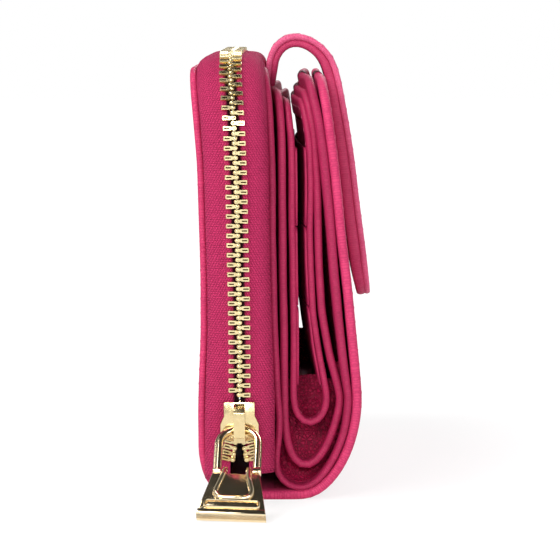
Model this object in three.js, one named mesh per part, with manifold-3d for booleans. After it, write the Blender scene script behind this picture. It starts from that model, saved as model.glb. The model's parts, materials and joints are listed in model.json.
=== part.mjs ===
// A compact leather bifold wallet that stands on its folded spine: a zip-around coin case on the left,
// nested card and note leaves on the right, and a closure tab that arches over the top.
// Millimetres. +X runs across the thickness, +Y along the spine, +Z up from the surface it stands on.
// The origin is on the spine's flat underside, half way along it.
import * as THREE from "three";
import { mergeVertices } from "three/addons/utils/BufferGeometryUtils.js";
import Module from "manifold-3d";

const wasm = await Module();
wasm.setup();

// ---- Driving dimensions -------------------------------------------------------------------------
const GAP = 0.3; // between any two pieces that touch

const SPINE_LENGTH = 110; // the wallet's width, along Y
const COVER_HEIGHT = 92; // spine to the covers' top edges
const COVER_CORNER = 12; // radius of the covers' top corners
const FOOT_HEIGHT = 22; // below this the leaves turn into the folds
const LEFT_FOOT_HEIGHT = 9; // the left cover turns into the spine lower down
const LEFT_TURN = 6.5; // across, from the left cover to where the spine lies flat
const RIGHT_TURN = 11.5;
const CARD_LOOP = 7.2; // how far the card panel's loop reaches down

const LEFT_LEATHER = 0.8;
const LEFT_LINING = 0.5;
const INNER_LEATHER = 0.6; // the coin case's inner side
const INNER_LINING = 0.4;
const DIVIDER = 0.9; // the note divider
const PANEL = 0.7; // the card panel
const SLOT_LEATHER = 0.5;
const INNER_COVER = 1.5; // the lining leaf of the outer cover
const RIGHT_LEATHER = 1.8;
const SPINE_LEATHER = 1.8;

const PANEL_DROP = 5; // from the covers' top edges down to the card panel's
const DIVIDER_DROP = 3;
const PANEL_INSET = 2; // leaves inside the cover are this much shorter at each end
const PANEL_CORNER = 8;
const SLOT_COUNT = 3;
const SLOT_LOW = 25; // where the lowest card slot begins
const SLOT_DROP = 10.1; // from the card panel's top edge down to the highest slot's
const SLOT_CORNER = 2;
const LINING_INSET = 1; // the coin case's linings end this far inside its leather

// Places at five heights, given as shares of the cover's height.
const STATION_SHARES = [0.24, 0.42, 0.62, 0.84, 1];
const CHAIN_X = [-6.5, -6.5, -6.9, -7.4, -8.5]; // the zip's centre line: the case leans out at the top
const CASE_WIDTH = [14.9, 13.6, 13.5, 13.9, 14.6]; // clear width inside the coin case
const AIR = {
  divider: [0.5, 1.1, 1.3, 1.3, 1.3], // between the coin case and the note divider, and so on outwards
  panelLeft: [1.2, 1.25, 1.2, 1.35, 0.9],
  panelRight: [5, 2.1, 1.5, 1.5, 0.5],
  dividerRight: [2.2, 1.3, 1.1, 0.4, 0.3],
  innerCover: [0.4, 2.1, 1.5, 0.4, 0.3],
  rightCover: [0.3, 0.8, 0.5, 0.3, 0.3],
};

const TAPE_THICK = 0.8;
const TAPE_DOME = 4; // how far the zip stands out past the covers' edges
const TAPE_EDGE = 2.8; // from the chain's centre to the woven tape's edge
const DOME_FLAT = 4.6; // half width of the flat band that the slider runs on
const TAPE_LOW = 9.5;
const STOP_WIDTH = 1.6;
const STOP_LENGTH = 2.2;
const TOOTH_PITCH = 2.08;
const TOOTH_LENGTH = 0.85; // along the chain
const TOOTH_OUT = 2.4; // tooth's outer end from the chain's centre
const TOOTH_CROSS = 0.6; // how far a tooth crosses the centre
const TOOTH_HALF_HEIGHT = 1.3;
const BEAD_IN = 1.6;
const BEAD_OUT = 2.3;
const BEAD_HALF_HEIGHT = 0.5;
const CHAIN_FAR_LOW = 16; // the far end of the chain

const SLIDER_LENGTH = 8.6;
const SLIDER_LOW = 13.7;
const SLIDER_NARROW = 6.6;
const SLIDER_WIDE = 8.2;
const SLIDER_PLATE = 0.9;
const SLIDER_FLANGE = 0.5;
const SLIDER_SLIT = 0.7; // half the slit that the tape runs in
const DIAMOND_HALF_WIDTH = 0.8;
const DIAMOND_LENGTH = 3;
const CROWN_WIDTH = 2.5;
const CROWN_LENGTH = 8.2;
const CROWN_BAR = 0.9;
const CROWN_WINDOW = 2.9;
const CROWN_SEAT = 0.3; // the crown's back, between its window and the slider
const CROWN_FOOT = 1.4;
const CROWN_NOSE = 1.2; // how far the crown's front corners are cut back

const BAIL_WIDTH = 10.2;
const BAIL_BAR = 1.75;
const BAIL_THICK = 1.6;
const BAIL_LENGTH = 12.5; // from its turn in the crown to the tag's pivot
const TAG_LENGTH = 11.4;
const TAG_TOP_WIDTH = 10.1;
const TAG_BASE_WIDTH = 14.6;
const TAG_THICK = 1.9;
const TAG_RELIEF = 0.6;
const TAG_SETBACK = 1.3; // from the pivot to the tag's plate
const TAG_FRAME = 1.2; // width of the raised frame
const TAG_FRAME_INSET = 1.1; // from the plate's edge to the frame
const TAG_BAR = 2; // the raised bar across the tip: its width, and its middle's distance from the tip
const LUG_WIDTH = 1.1;
const LUG_RADIUS = 1.1;
const PIVOT_RADIUS = 0.5;
const PULL_SLOPE = 38; // degrees below level, tip near the floor
const PULL_YAW = -3; // degrees, the pull hangs a little to the left

const TAB_WIDTH = 28;
const TAB_LEATHER = 1.3;
const TAB_STIFFENER = 0.6;
const TAB_LINING = 1.3;
const TAB_DROP = 50.5; // from the covers' top edges down to the tab's free end
const TAB_TIP_RADIUS = 10;
const TAB_ARCH_RISE = 10; // the arch's top above the covers' top edges
const TAB_ROOT_RUN = 3; // across, from the tab's root to the top of its arch
const TAB_SHOULDER = 8; // below the covers' top edges the tab lies along the cover
const TAB_STANDOFF = 0.4; // off the cover at the top
const TAB_SNAP_STANDOFF = 1.1; // off the cover at the snap
const SNAP_ABOVE_TIP = 10.5;
const SNAP_SOCKET_RADIUS = 4.2;
const SNAP_BORE = 2.4;
const SNAP_STUD_RADIUS = 2;
const SNAP_BASE_RADIUS = 3.6;

// ---- Derived places -----------------------------------------------------------------------------
const HALF_SPINE = SPINE_LENGTH / 2;
const PANEL_TOP = COVER_HEIGHT - PANEL_DROP;
const SLOT_RISE = (PANEL_TOP - SLOT_DROP - SLOT_LOW) / SLOT_COUNT; // from one slot's edge to the next
const TAB_TIP = COVER_HEIGHT - TAB_DROP;
const SNAP_HEIGHT = TAB_TIP + SNAP_ABOVE_TIP;
const STATIONS = STATION_SHARES.map((share) => share * COVER_HEIGHT);
const LEFT_SIDE = LEFT_LEATHER + GAP + LEFT_LINING;
const INNER_SIDE = INNER_LEATHER + GAP + INNER_LINING;
const PANEL_SIDE = PANEL + GAP + SLOT_LEATHER;
const FOLD_TOP = FOOT_HEIGHT - GAP;
const TAB_THICK = TAB_LEATHER + TAB_STIFFENER + TAB_LINING + 2 * GAP;
const ZIP_FRONT_Y = -HALF_SPINE - TAPE_DOME;
const SLIDER_MIDDLE = SLIDER_LOW + SLIDER_LENGTH / 2;
const CHAIN_NEAR_LOW = SLIDER_LOW + SLIDER_LENGTH + GAP;
const PLATE_IN = TOOTH_HALF_HEIGHT + GAP;
const PLATE_OUT = PLATE_IN + SLIDER_PLATE;

// A smooth value that passes through one number at each station.
function smooth(values) {
  const curve = new THREE.CubicInterpolant(STATIONS, values, 1);
  return (z) => curve.evaluate(Math.min(Math.max(z, STATIONS[0]), STATIONS.at(-1)))[0];
}

const chainX = smooth(CHAIN_X);
const caseWidth = smooth(CASE_WIDTH);
const air = Object.fromEntries(Object.entries(AIR).map(([name, values]) => [name, smooth(values)]));

// The left face of each leaf, stacked outwards from the coin case.
const leftLiningFace = (z) => chainX(z) - caseWidth(z) / 2 - LEFT_LINING;
const leftCoverFace = (z) => leftLiningFace(z) - GAP - LEFT_LEATHER;
const innerLiningFace = (z) => chainX(z) + caseWidth(z) / 2;
const innerSideFace = (z) => innerLiningFace(z) + INNER_LINING + GAP;
const dividerFace = (z) => innerLiningFace(z) + INNER_SIDE + air.divider(z);
const panelFace = (z) => dividerFace(z) + DIVIDER + air.panelLeft(z);
const leftSlotFace = (z) => panelFace(z) + PANEL + GAP;
const rightSlotFace = (z) => panelFace(z) + PANEL_SIDE + air.panelRight(z);
const rightPanelFace = (z) => rightSlotFace(z) + SLOT_LEATHER + GAP;
const rightDividerFace = (z) => rightPanelFace(z) + PANEL + air.dividerRight(z);
const innerCoverFace = (z) => rightDividerFace(z) + DIVIDER + air.innerCover(z);
const rightCoverFace = (z) => innerCoverFace(z) + INNER_COVER + air.rightCover(z);
const rightOutside = (z) => rightCoverFace(z) + RIGHT_LEATHER;

// ---- Solid helpers ------------------------------------------------------------------------------
function toManifold(geometry) {
  const bare = geometry.clone();
  bare.deleteAttribute("normal");
  bare.deleteAttribute("uv");
  const merged = mergeVertices(bare, 1e-4);
  const vertProperties = merged.attributes.position.array;
  const triVerts = new Uint32Array(merged.index.array);
  return new wasm.Manifold(new wasm.Mesh({ numProp: 3, vertProperties, triVerts }));
}

function toGeometry(manifold) {
  const mesh = manifold.getMesh();
  const geometry = new THREE.BufferGeometry();
  geometry.setAttribute("position", new THREE.BufferAttribute(mesh.vertProperties, 3));
  geometry.setIndex(new THREE.BufferAttribute(mesh.triVerts, 1));
  geometry.computeVertexNormals();
  return geometry;
}

function unite(...geometries) {
  return toGeometry(geometries.map(toManifold).reduce((sum, next) => sum.add(next)));
}

function cut(geometry, ...tools) {
  return toGeometry(tools.map(toManifold).reduce((rest, tool) => rest.subtract(tool), toManifold(geometry)));
}

function overlapOf(first, second) {
  return toGeometry(toManifold(first).intersect(toManifold(second)));
}

// Extrudes an outline drawn in (x, z) along the spine.
function alongY(outline, from, to, curveSegments = 8) {
  const options = { depth: to - from, bevelEnabled: false, curveSegments };
  return new THREE.ExtrudeGeometry(outline, options).rotateX(Math.PI / 2).translate(0, to, 0);
}

// Extrudes an outline drawn in (y, z) across the thickness.
const ACROSS = new THREE.Matrix4().makeBasis(
  new THREE.Vector3(0, 1, 0),
  new THREE.Vector3(0, 0, 1),
  new THREE.Vector3(1, 0, 0),
);

function alongX(outline, from, to, steps = 1, curveSegments = 6) {
  const options = { depth: to - from, steps, bevelEnabled: false, curveSegments };
  return new THREE.ExtrudeGeometry(outline, options).applyMatrix4(ACROSS).translate(from, 0, 0);
}

// A plate standing on the spine's line, with both top corners rounded.
function archedPlate(halfLength, low, top, radius) {
  const plate = new THREE.Shape();
  plate.moveTo(-halfLength, low);
  plate.lineTo(halfLength, low);
  plate.lineTo(halfLength, top - radius);
  plate.absarc(halfLength - radius, top - radius, radius, 0, Math.PI / 2, false);
  plate.absarc(radius - halfLength, top - radius, radius, Math.PI / 2, Math.PI, false);
  plate.closePath();
  return plate;
}

// One leaf: a sheet between two heights whose left face follows a function of height.
function leaf({ face, thickness, low = FOOT_HEIGHT, top, inset = 0, radius = COVER_CORNER }) {
  const steps = Math.max(2, Math.round((top - low) / 9));
  const heights = Array.from({ length: steps + 1 }, (_, i) => low + ((top - low) * i) / steps);
  const left = heights.map((z) => new THREE.Vector2(face(z), z));
  const right = heights.map((z) => new THREE.Vector2(face(z) + thickness, z)).reverse();
  const sheet = alongY(new THREE.Shape([...left, ...right]), -HALF_SPINE, HALF_SPINE);
  const plate = archedPlate(HALF_SPINE - inset, low - 1, top, radius);
  return overlapOf(sheet, alongX(plate, -4 * SPINE_LENGTH, 4 * SPINE_LENGTH));
}

// A curve's points, each moved a distance to the curve's left.
function besideCurve(curve, out, steps) {
  return Array.from({ length: steps + 1 }, (_, i) => {
    const along = curve.getTangentAt(i / steps);
    return curve.getPointAt(i / steps).add(new THREE.Vector2(-along.y, along.x).multiplyScalar(out));
  });
}

// A strip of leather between two lines beside a curve drawn in (x, z).
function strip(curve, from, to, steps, halfLength) {
  const back = besideCurve(curve, from, steps).reverse();
  return alongY(new THREE.Shape([...besideCurve(curve, to, steps), ...back]), -halfLength, halfLength);
}

// ---- Materials ----------------------------------------------------------------------------------
function finish(color, roughness, metalness = 0) {
  return new THREE.MeshStandardMaterial({ color, roughness, metalness });
}

const LEATHER = finish(0xb83462, 0.5);
const LINING = finish(0x9a2450, 0.6);
const TAPE = finish(0xb8305f, 0.85);
const GOLD = finish(0xe6d29a, 0.2, 1);
const BOARD = finish(0x8a6a58, 0.9);

const wallet = new THREE.Group();

function piece(name, geometry, material, parent = wallet) {
  const mesh = new THREE.Mesh(geometry, material);
  mesh.name = name;
  parent.add(mesh);
  return mesh;
}

// ---- Covers and leaves --------------------------------------------------------------------------
function covers() {
  const top = COVER_HEIGHT;
  const left = { low: LEFT_FOOT_HEIGHT + GAP, top };
  const lining = { top, inset: LINING_INSET };
  piece("left_cover", leaf({ ...left, face: leftCoverFace, thickness: LEFT_LEATHER }), LEATHER);
  const leftLining = { ...lining, ...left, face: leftLiningFace, thickness: LEFT_LINING };
  piece("left_cover_lining", leaf(leftLining), LINING);
  piece("coin_inner_cover", leaf({ face: innerSideFace, thickness: INNER_LEATHER, top }), LEATHER);
  piece("coin_inner_lining", leaf({ ...lining, face: innerLiningFace, thickness: INNER_LINING }), LINING);
  piece("right_inner_cover", leaf({ face: innerCoverFace, thickness: INNER_COVER, top }), LINING);
  piece("right_cover", leaf({ face: rightCoverFace, thickness: RIGHT_LEATHER, top }), LEATHER);
}

function noteDivider() {
  const top = COVER_HEIGHT - DIVIDER_DROP;
  const sheet = { thickness: DIVIDER, top, inset: PANEL_INSET, radius: PANEL_CORNER };
  piece("note_divider_left", leaf({ ...sheet, face: dividerFace }), LEATHER);
  piece("note_divider_right", leaf({ ...sheet, face: rightDividerFace }), LEATHER);
}

function cardPanels() {
  const sheet = { thickness: PANEL, top: PANEL_TOP, inset: PANEL_INSET, radius: PANEL_CORNER };
  piece("card_panel_left", leaf({ ...sheet, face: panelFace }), LEATHER);
  piece("card_panel_right", leaf({ ...sheet, face: rightPanelFace }), LEATHER);
  const edge = { thickness: SLOT_LEATHER, inset: PANEL_INSET, radius: SLOT_CORNER };
  for (let i = 0; i < SLOT_COUNT; i++) {
    const low = SLOT_LOW + i * SLOT_RISE;
    const slot = { ...edge, low, top: low + SLOT_RISE - GAP };
    piece(`card_slot_left_${i + 1}`, leaf({ ...slot, face: leftSlotFace }), LEATHER);
    piece(`card_slot_right_${i + 1}`, leaf({ ...slot, face: rightSlotFace }), LEATHER);
  }
}

// ---- Folds at the spine -------------------------------------------------------------------------
// The middle of a leaf's foot, where its fold begins.
const footOf = (face, thickness) => new THREE.Vector2(face(FOLD_TOP) + thickness / 2, FOLD_TOP);

// A point on a fold: a distance across from a foot, and a height given as a share of the fold's.
const foldPoint = (foot, across, share) => new THREE.Vector2(foot.x + across, FOLD_TOP * share);

function spineCover() {
  const left = new THREE.Vector2(leftCoverFace(0) + LEFT_SIDE / 2 + GAP, LEFT_FOOT_HEIGHT);
  const right = footOf(rightCoverFace, RIGHT_LEATHER);
  const level = SPINE_LEATHER / 2;
  const flatFrom = new THREE.Vector2(left.x + LEFT_TURN, level);
  const flatTo = new THREE.Vector2(right.x - RIGHT_TURN, level);
  const leftPulls = [foldPoint(left, 0.4, 0.18), new THREE.Vector2(left.x + LEFT_TURN * 0.54, level)];
  const rightPulls = [new THREE.Vector2(right.x - RIGHT_TURN * 0.6, level), foldPoint(right, 0, 0.46)];
  const outline = new THREE.CurvePath();
  outline.add(new THREE.CubicBezierCurve(left, ...leftPulls, flatFrom));
  outline.add(new THREE.LineCurve(flatFrom, flatTo));
  outline.add(new THREE.CubicBezierCurve(flatTo, ...rightPulls, right));
  piece("spine_cover", strip(outline, -level, level, 26, HALF_SPINE), LEATHER);
}

// The lining of the spine: it bows out under the coin case, lies on the spine and rises on the right.
function innerShellFold() {
  const left = footOf(innerSideFace, INNER_LEATHER);
  const right = footOf(innerCoverFace, INNER_COVER);
  const lying = SPINE_LEATHER + DIVIDER / 2 + 2 * GAP;
  const points = [
    left,
    foldPoint(left, 0.1, 0.71),
    foldPoint(left, -0.5, 0.46),
    foldPoint(left, -0.4, 0.27),
    new THREE.Vector2(left.x + 2.6, lying),
    new THREE.Vector2(right.x - 8.3, lying + 0.1),
    foldPoint(right, -4.2, 0.34),
    foldPoint(right, -1.2, 0.65),
    right,
  ];
  const curve = new THREE.SplineCurve(points);
  piece("inner_shell_fold", strip(curve, -DIVIDER / 2, DIVIDER / 2, 26, HALF_SPINE), LEATHER);
}

function noteDividerFold() {
  const left = footOf(dividerFace, DIVIDER);
  const right = footOf(rightDividerFace, DIVIDER);
  const pulls = [foldPoint(left, -0.6, 0.07), foldPoint(right, -3.4, 0.115)];
  const loop = new THREE.CubicBezierCurve(left, ...pulls, right);
  const halfLength = HALF_SPINE - PANEL_INSET;
  piece("note_divider_fold", strip(loop, -DIVIDER / 2, DIVIDER / 2, 16, halfLength), LEATHER);
}

function cardPanelFold() {
  const left = footOf(panelFace, PANEL);
  const right = footOf(rightPanelFace, PANEL);
  const low = FOLD_TOP - CARD_LOOP;
  const pulls = [new THREE.Vector2(left.x + 0.4, low), new THREE.Vector2(right.x - 0.6, low)];
  const loop = new THREE.CubicBezierCurve(left, ...pulls, right);
  piece("card_panel_fold", strip(loop, -PANEL / 2, PANEL / 2, 12, HALF_SPINE - PANEL_INSET), LEATHER);
}

// ---- Zip ----------------------------------------------------------------------------------------
const SHOULDER = COVER_HEIGHT - COVER_CORNER; // where the top corners begin
const CORE_Y = HALF_SPINE - COVER_CORNER; // the corners' centres
const TOP_RUN = 2 * CORE_Y;
const CHAIN_RADIUS = COVER_CORNER + TAPE_DOME;
const CORNER_RUN = (CHAIN_RADIUS * Math.PI) / 2;
const TAPE_HALF = CASE_WIDTH[2] / 2 - GAP;

// The zip runs up the near end, over the top and down the far end. A distance along it is counted
// from the near shoulder, so it is negative below that. Gives the centre that the run turns about
// there, and the direction outwards.
function zipLine(distance) {
  const corner = (y, angle) => ({ y, z: SHOULDER, angle });
  if (distance <= 0) return { y: -CORE_Y, z: SHOULDER + distance, angle: Math.PI };
  if (distance < CORNER_RUN) return corner(-CORE_Y, Math.PI - distance / CHAIN_RADIUS);
  const over = distance - CORNER_RUN;
  if (over <= TOP_RUN) return corner(over - CORE_Y, Math.PI / 2);
  const down = over - TOP_RUN;
  if (down < CORNER_RUN) return corner(CORE_Y, Math.PI / 2 - down / CHAIN_RADIUS);
  return { y: CORE_Y, z: SHOULDER + CORNER_RUN - down, angle: 0 };
}

// The point at a distance along the zip, outwards past the covers' edge and across from its middle.
function zipPoint(distance, outwards, across) {
  const { y, z, angle } = zipLine(distance);
  const reach = COVER_CORNER + outwards;
  const height = z + Math.sin(angle) * reach;
  return new THREE.Vector3(chainX(height) + across, y + Math.cos(angle) * reach, height);
}

// Distances along the zip, close together only where it bends.
function zipSteps(nearLow, farLow) {
  const run = (from, to, count) => Array.from({ length: count }, (_, i) => from + ((to - from) * i) / count);
  const farShoulder = 2 * CORNER_RUN + TOP_RUN;
  return [
    ...run(nearLow - SHOULDER, 0, 6),
    ...run(0, CORNER_RUN, 7),
    ...run(CORNER_RUN, CORNER_RUN + TOP_RUN, 2),
    ...run(CORNER_RUN + TOP_RUN, farShoulder, 7),
    ...run(farShoulder, farShoulder + SHOULDER - farLow, 6),
    farShoulder + SHOULDER - farLow,
  ];
}

// A thin solid between two skins. Each row holds the same number of points on both skins.
function ribbon(rows) {
  const count = rows[0].outer.length;
  const points = rows.flatMap(({ outer, inner }) => [...outer, ...inner]);
  const at = (row, column, skin) => row * 2 * count + skin * count + column;
  const index = [];
  const quad = (a, b, c, d) => index.push(a, b, c, a, c, d);
  for (let row = 0; row < rows.length - 1; row++) {
    const next = row + 1;
    for (let column = 0; column < count - 1; column++) {
      const beside = column + 1;
      quad(at(row, column, 0), at(next, column, 0), at(next, beside, 0), at(row, beside, 0));
      quad(at(row, column, 1), at(row, beside, 1), at(next, beside, 1), at(next, column, 1));
    }
    quad(at(row, 0, 0), at(row, 0, 1), at(next, 0, 1), at(next, 0, 0));
    quad(at(row, count - 1, 0), at(next, count - 1, 0), at(next, count - 1, 1), at(row, count - 1, 1));
  }
  const last = rows.length - 1;
  for (let column = 0; column < count - 1; column++) {
    const beside = column + 1;
    quad(at(0, column, 0), at(0, beside, 0), at(0, beside, 1), at(0, column, 1));
    quad(at(last, column, 0), at(last, column, 1), at(last, beside, 1), at(last, beside, 0));
  }
  const geometry = new THREE.BufferGeometry().setFromPoints(points);
  geometry.setIndex(index);
  if (toManifold(geometry).volume() < 0) geometry.setIndex(index.reverse());
  geometry.computeVertexNormals();
  return geometry;
}

// One side of the zip's tape: flat beside the chain, then falling to the cover's edge.
function zipTape(side) {
  const shares = [0, 0.3, 0.55, 0.8, 1];
  const rows = zipSteps(TAPE_LOW, TAPE_LOW).map((distance) => {
    const width = caseWidth(zipPoint(distance, TAPE_DOME, 0).z) / 2 - GAP;
    const skin = (lift) =>
      shares.map((share) => {
        const across = TAPE_EDGE + (width - TAPE_EDGE) * share;
        const fall = THREE.MathUtils.smoothstep(across, DOME_FLAT, width);
        return zipPoint(distance, TAPE_DOME * (1 - fall) + lift, side * across);
      });
    return { outer: skin(TAPE_THICK / 2), inner: skin(-TAPE_THICK / 2) };
  });
  return ribbon(rows);
}

// One row of teeth, all joined by the bead at the tape's edge.
function zipTeeth(side) {
  const from = CHAIN_NEAR_LOW - SHOULDER;
  const to = 2 * CORNER_RUN + TOP_RUN + SHOULDER - CHAIN_FAR_LOW;
  const bead = zipSteps(CHAIN_NEAR_LOW, CHAIN_FAR_LOW).map((distance) => {
    const edge = (across, lift) => zipPoint(distance, TAPE_DOME + lift, side * across);
    const skin = (lift) => [edge(BEAD_IN, lift), edge(BEAD_OUT, lift)];
    return { outer: skin(BEAD_HALF_HEIGHT), inner: skin(-BEAD_HALF_HEIGHT) };
  });
  const width = TOOTH_OUT + TOOTH_CROSS;
  const first = from + (side > 0 ? 0.5 : 1) * TOOTH_PITCH;
  const teeth = [];
  for (let distance = first; distance < to - TOOTH_LENGTH / 2; distance += TOOTH_PITCH) {
    const place = zipPoint(distance, TAPE_DOME, side * (TOOTH_OUT - width / 2));
    const tooth = new THREE.BoxGeometry(width, 2 * TOOTH_HALF_HEIGHT, TOOTH_LENGTH);
    tooth.rotateX(zipLine(distance).angle).translate(place.x, place.y, place.z);
    teeth.push(tooth);
  }
  return unite(ribbon(bead), ...teeth);
}

const SIDES = { left: -1, right: 1 };

function zip() {
  for (const [name, side] of Object.entries(SIDES)) {
    piece(`zip_tape_${name}`, zipTape(side), TAPE);
    piece(`zip_teeth_${name}`, zipTeeth(side), GOLD);
    const stop = new THREE.BoxGeometry(STOP_WIDTH, 2 * BEAD_HALF_HEIGHT, STOP_LENGTH);
    const stopHeight = TAPE_LOW + STOP_LENGTH / 2 + GAP;
    const place = zipPoint(stopHeight - SHOULDER, TAPE_DOME, side * (TAPE_EDGE - GAP - STOP_WIDTH / 2));
    piece(`zip_top_stop_${name}`, stop.translate(place.x, place.y, place.z), GOLD);
  }
  const farEnd = 2 * CORNER_RUN + TOP_RUN + SHOULDER - CHAIN_FAR_LOW + GAP + STOP_LENGTH / 2;
  const bottom = zipPoint(farEnd, TAPE_DOME, 0);
  const bottomStop = new THREE.BoxGeometry(2 * TOOTH_OUT, 2 * TOOTH_HALF_HEIGHT, STOP_LENGTH);
  piece("zip_bottom_stop", bottomStop.translate(bottom.x, bottom.y, bottom.z), GOLD);
}

// ---- Slider and pull ----------------------------------------------------------------------------
// Drawn about the slider's middle: x across, y outwards negative, z up the chain.
function sliderPlate() {
  const narrow = SLIDER_NARROW / 2;
  const wide = SLIDER_WIDE / 2;
  const half = SLIDER_LENGTH / 2;
  const plate = new THREE.Shape();
  plate.moveTo(-narrow, half);
  plate.lineTo(-narrow, half * 0.3);
  plate.lineTo(-wide, -half * 0.1);
  plate.lineTo(-wide, -half * 0.6);
  plate.quadraticCurveTo(-wide, -half, 0, -half);
  plate.quadraticCurveTo(wide, -half, wide, -half * 0.6);
  plate.lineTo(wide, -half * 0.1);
  plate.lineTo(narrow, half * 0.3);
  plate.lineTo(narrow, half);
  plate.closePath();
  return plate;
}

function sliderBody() {
  const half = SLIDER_LENGTH / 2;
  const solid = alongY(sliderPlate(), -PLATE_OUT, PLATE_OUT, 4);
  const box = (width, depth, length, y, z) => new THREE.BoxGeometry(width, depth, length).translate(0, y, z);
  const channelWidth = SLIDER_NARROW - 2 * SLIDER_FLANGE;
  const channel = box(channelWidth, 2 * PLATE_IN, 2 * SLIDER_LENGTH, 0, 0);
  const mouth = box(SLIDER_WIDE - 2 * SLIDER_FLANGE, 2 * PLATE_IN, half, 0, -half * 0.6);
  const slit = box(2 * SLIDER_WIDE, 2 * SLIDER_SLIT, 2 * SLIDER_LENGTH, 0, 0);
  const diamondMiddle = -half + 0.4 + DIAMOND_LENGTH / 2;
  const diamond = box(2 * DIAMOND_HALF_WIDTH, 2 * PLATE_IN + 0.4, DIAMOND_LENGTH, 0, diamondMiddle);
  return unite(cut(solid, channel, mouth, slit), diamond);
}

// The crown is a bridge over the slider's front that holds the pull.
function sliderCrown() {
  const half = CROWN_LENGTH / 2;
  const base = -PLATE_OUT - GAP;
  const rise = CROWN_WINDOW + CROWN_BAR;
  const side = new THREE.Shape();
  side.moveTo(base, half);
  side.lineTo(base - rise + 0.6, half - 0.7);
  side.lineTo(base - rise, half - 1.6);
  side.lineTo(base - rise, -half + 1.2);
  side.lineTo(base - rise + 0.8, -half);
  side.lineTo(base, -half);
  side.closePath();
  const window = new THREE.Path();
  window.moveTo(base - CROWN_SEAT, half - CROWN_FOOT - 0.6);
  window.lineTo(base - CROWN_SEAT, -half + CROWN_FOOT);
  window.lineTo(base - CROWN_WINDOW, -half + CROWN_FOOT);
  window.lineTo(base - CROWN_WINDOW, half - CROWN_FOOT - 1);
  window.closePath();
  side.holes.push(window);
  return alongX(side, -CROWN_WIDTH / 2, CROWN_WIDTH / 2);
}

// The pull is drawn lying flat: +y back to the crown, -y to its tip, x across, z through its thickness.
function bail() {
  const outer = BAIL_WIDTH / 2;
  const inner = outer - BAIL_BAR;
  const turn = BAIL_BAR / 2 - outer;
  const arch = new THREE.Shape();
  arch.moveTo(outer, -BAIL_LENGTH);
  arch.absarc(0, turn, outer, 0, Math.PI, false);
  arch.lineTo(-outer, -BAIL_LENGTH);
  arch.absarc(-(outer + inner) / 2, -BAIL_LENGTH, BAIL_BAR / 2, Math.PI, 2 * Math.PI, false);
  arch.absarc(0, turn, inner, Math.PI, 0, true);
  arch.lineTo(inner, -BAIL_LENGTH);
  arch.absarc((outer + inner) / 2, -BAIL_LENGTH, BAIL_BAR / 2, Math.PI, 2 * Math.PI, false);
  arch.closePath();
  const options = { depth: BAIL_THICK, bevelEnabled: false, curveSegments: 10 };
  const flat = new THREE.ExtrudeGeometry(arch, options).translate(0, 0, -BAIL_THICK / 2);
  const stub = (side) => {
    const length = BAIL_BAR / 2 + GAP + LUG_WIDTH;
    const pin = new THREE.CylinderGeometry(PIVOT_RADIUS, PIVOT_RADIUS, length, 12).rotateZ(Math.PI / 2);
    return pin.translate(side * (inner + BAIL_BAR / 2 - length / 2), -BAIL_LENGTH, 0);
  };
  return unite(flat, stub(1), stub(-1));
}

function tagOutline(inset, topInset, baseInset) {
  const top = TAG_TOP_WIDTH / 2 - inset;
  const base = TAG_BASE_WIDTH / 2 - inset;
  const high = -TAG_SETBACK - topInset;
  const low = -TAG_SETBACK - TAG_LENGTH + baseInset;
  const widthAt = (y) => top + ((base - top) * (y - high)) / (low - high);
  const outline = new THREE.Shape();
  outline.moveTo(-widthAt(high), high);
  outline.lineTo(-widthAt(low), low);
  outline.lineTo(widthAt(low), low);
  outline.lineTo(widthAt(high), high);
  outline.closePath();
  return outline;
}

// The tag: a plate that widens to its tip, with a raised frame, a raised bar and two lugs.
function tag() {
  const back = -TAG_THICK / 2;
  const face = TAG_THICK / 2;
  const between = (outline, from, to) => {
    const options = { depth: to - from, bevelEnabled: false, curveSegments: 6 };
    return new THREE.ExtrudeGeometry(outline, options).translate(0, 0, from);
  };
  const across = (radius, length) =>
    new THREE.CylinderGeometry(radius, radius, length, 16).rotateZ(Math.PI / 2);
  const plate = between(tagOutline(0, 0, 0), back, face);
  const frameLow = TAG_BAR + 1.6;
  const frame = between(tagOutline(TAG_FRAME_INSET, 0.4, frameLow), back, face + TAG_RELIEF);
  const recessOutline = tagOutline(TAG_FRAME_INSET + TAG_FRAME, -1, frameLow + TAG_FRAME);
  const recess = between(recessOutline, face, face + 2 * TAG_RELIEF);
  const barDepth = TAG_RELIEF + 0.4;
  const bar = new THREE.BoxGeometry(TAG_BASE_WIDTH - 2.6, TAG_BAR, barDepth);
  bar.translate(0, TAG_BAR - TAG_SETBACK - TAG_LENGTH, face + TAG_RELIEF - barDepth / 2);
  const inner = BAIL_WIDTH / 2 - BAIL_BAR;
  const lug = (side) => {
    const x = side * (inner - GAP - LUG_WIDTH / 2);
    const neckLength = TAG_SETBACK + 0.6;
    const neck = new THREE.BoxGeometry(LUG_WIDTH, neckLength, TAG_THICK);
    return [across(LUG_RADIUS, LUG_WIDTH).translate(x, 0, 0), neck.translate(x, -neckLength / 2, 0)];
  };
  const solid = unite(plate, frame, bar, ...lug(1), ...lug(-1));
  return cut(solid, recess, across(PIVOT_RADIUS + GAP, BAIL_WIDTH));
}

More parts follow.
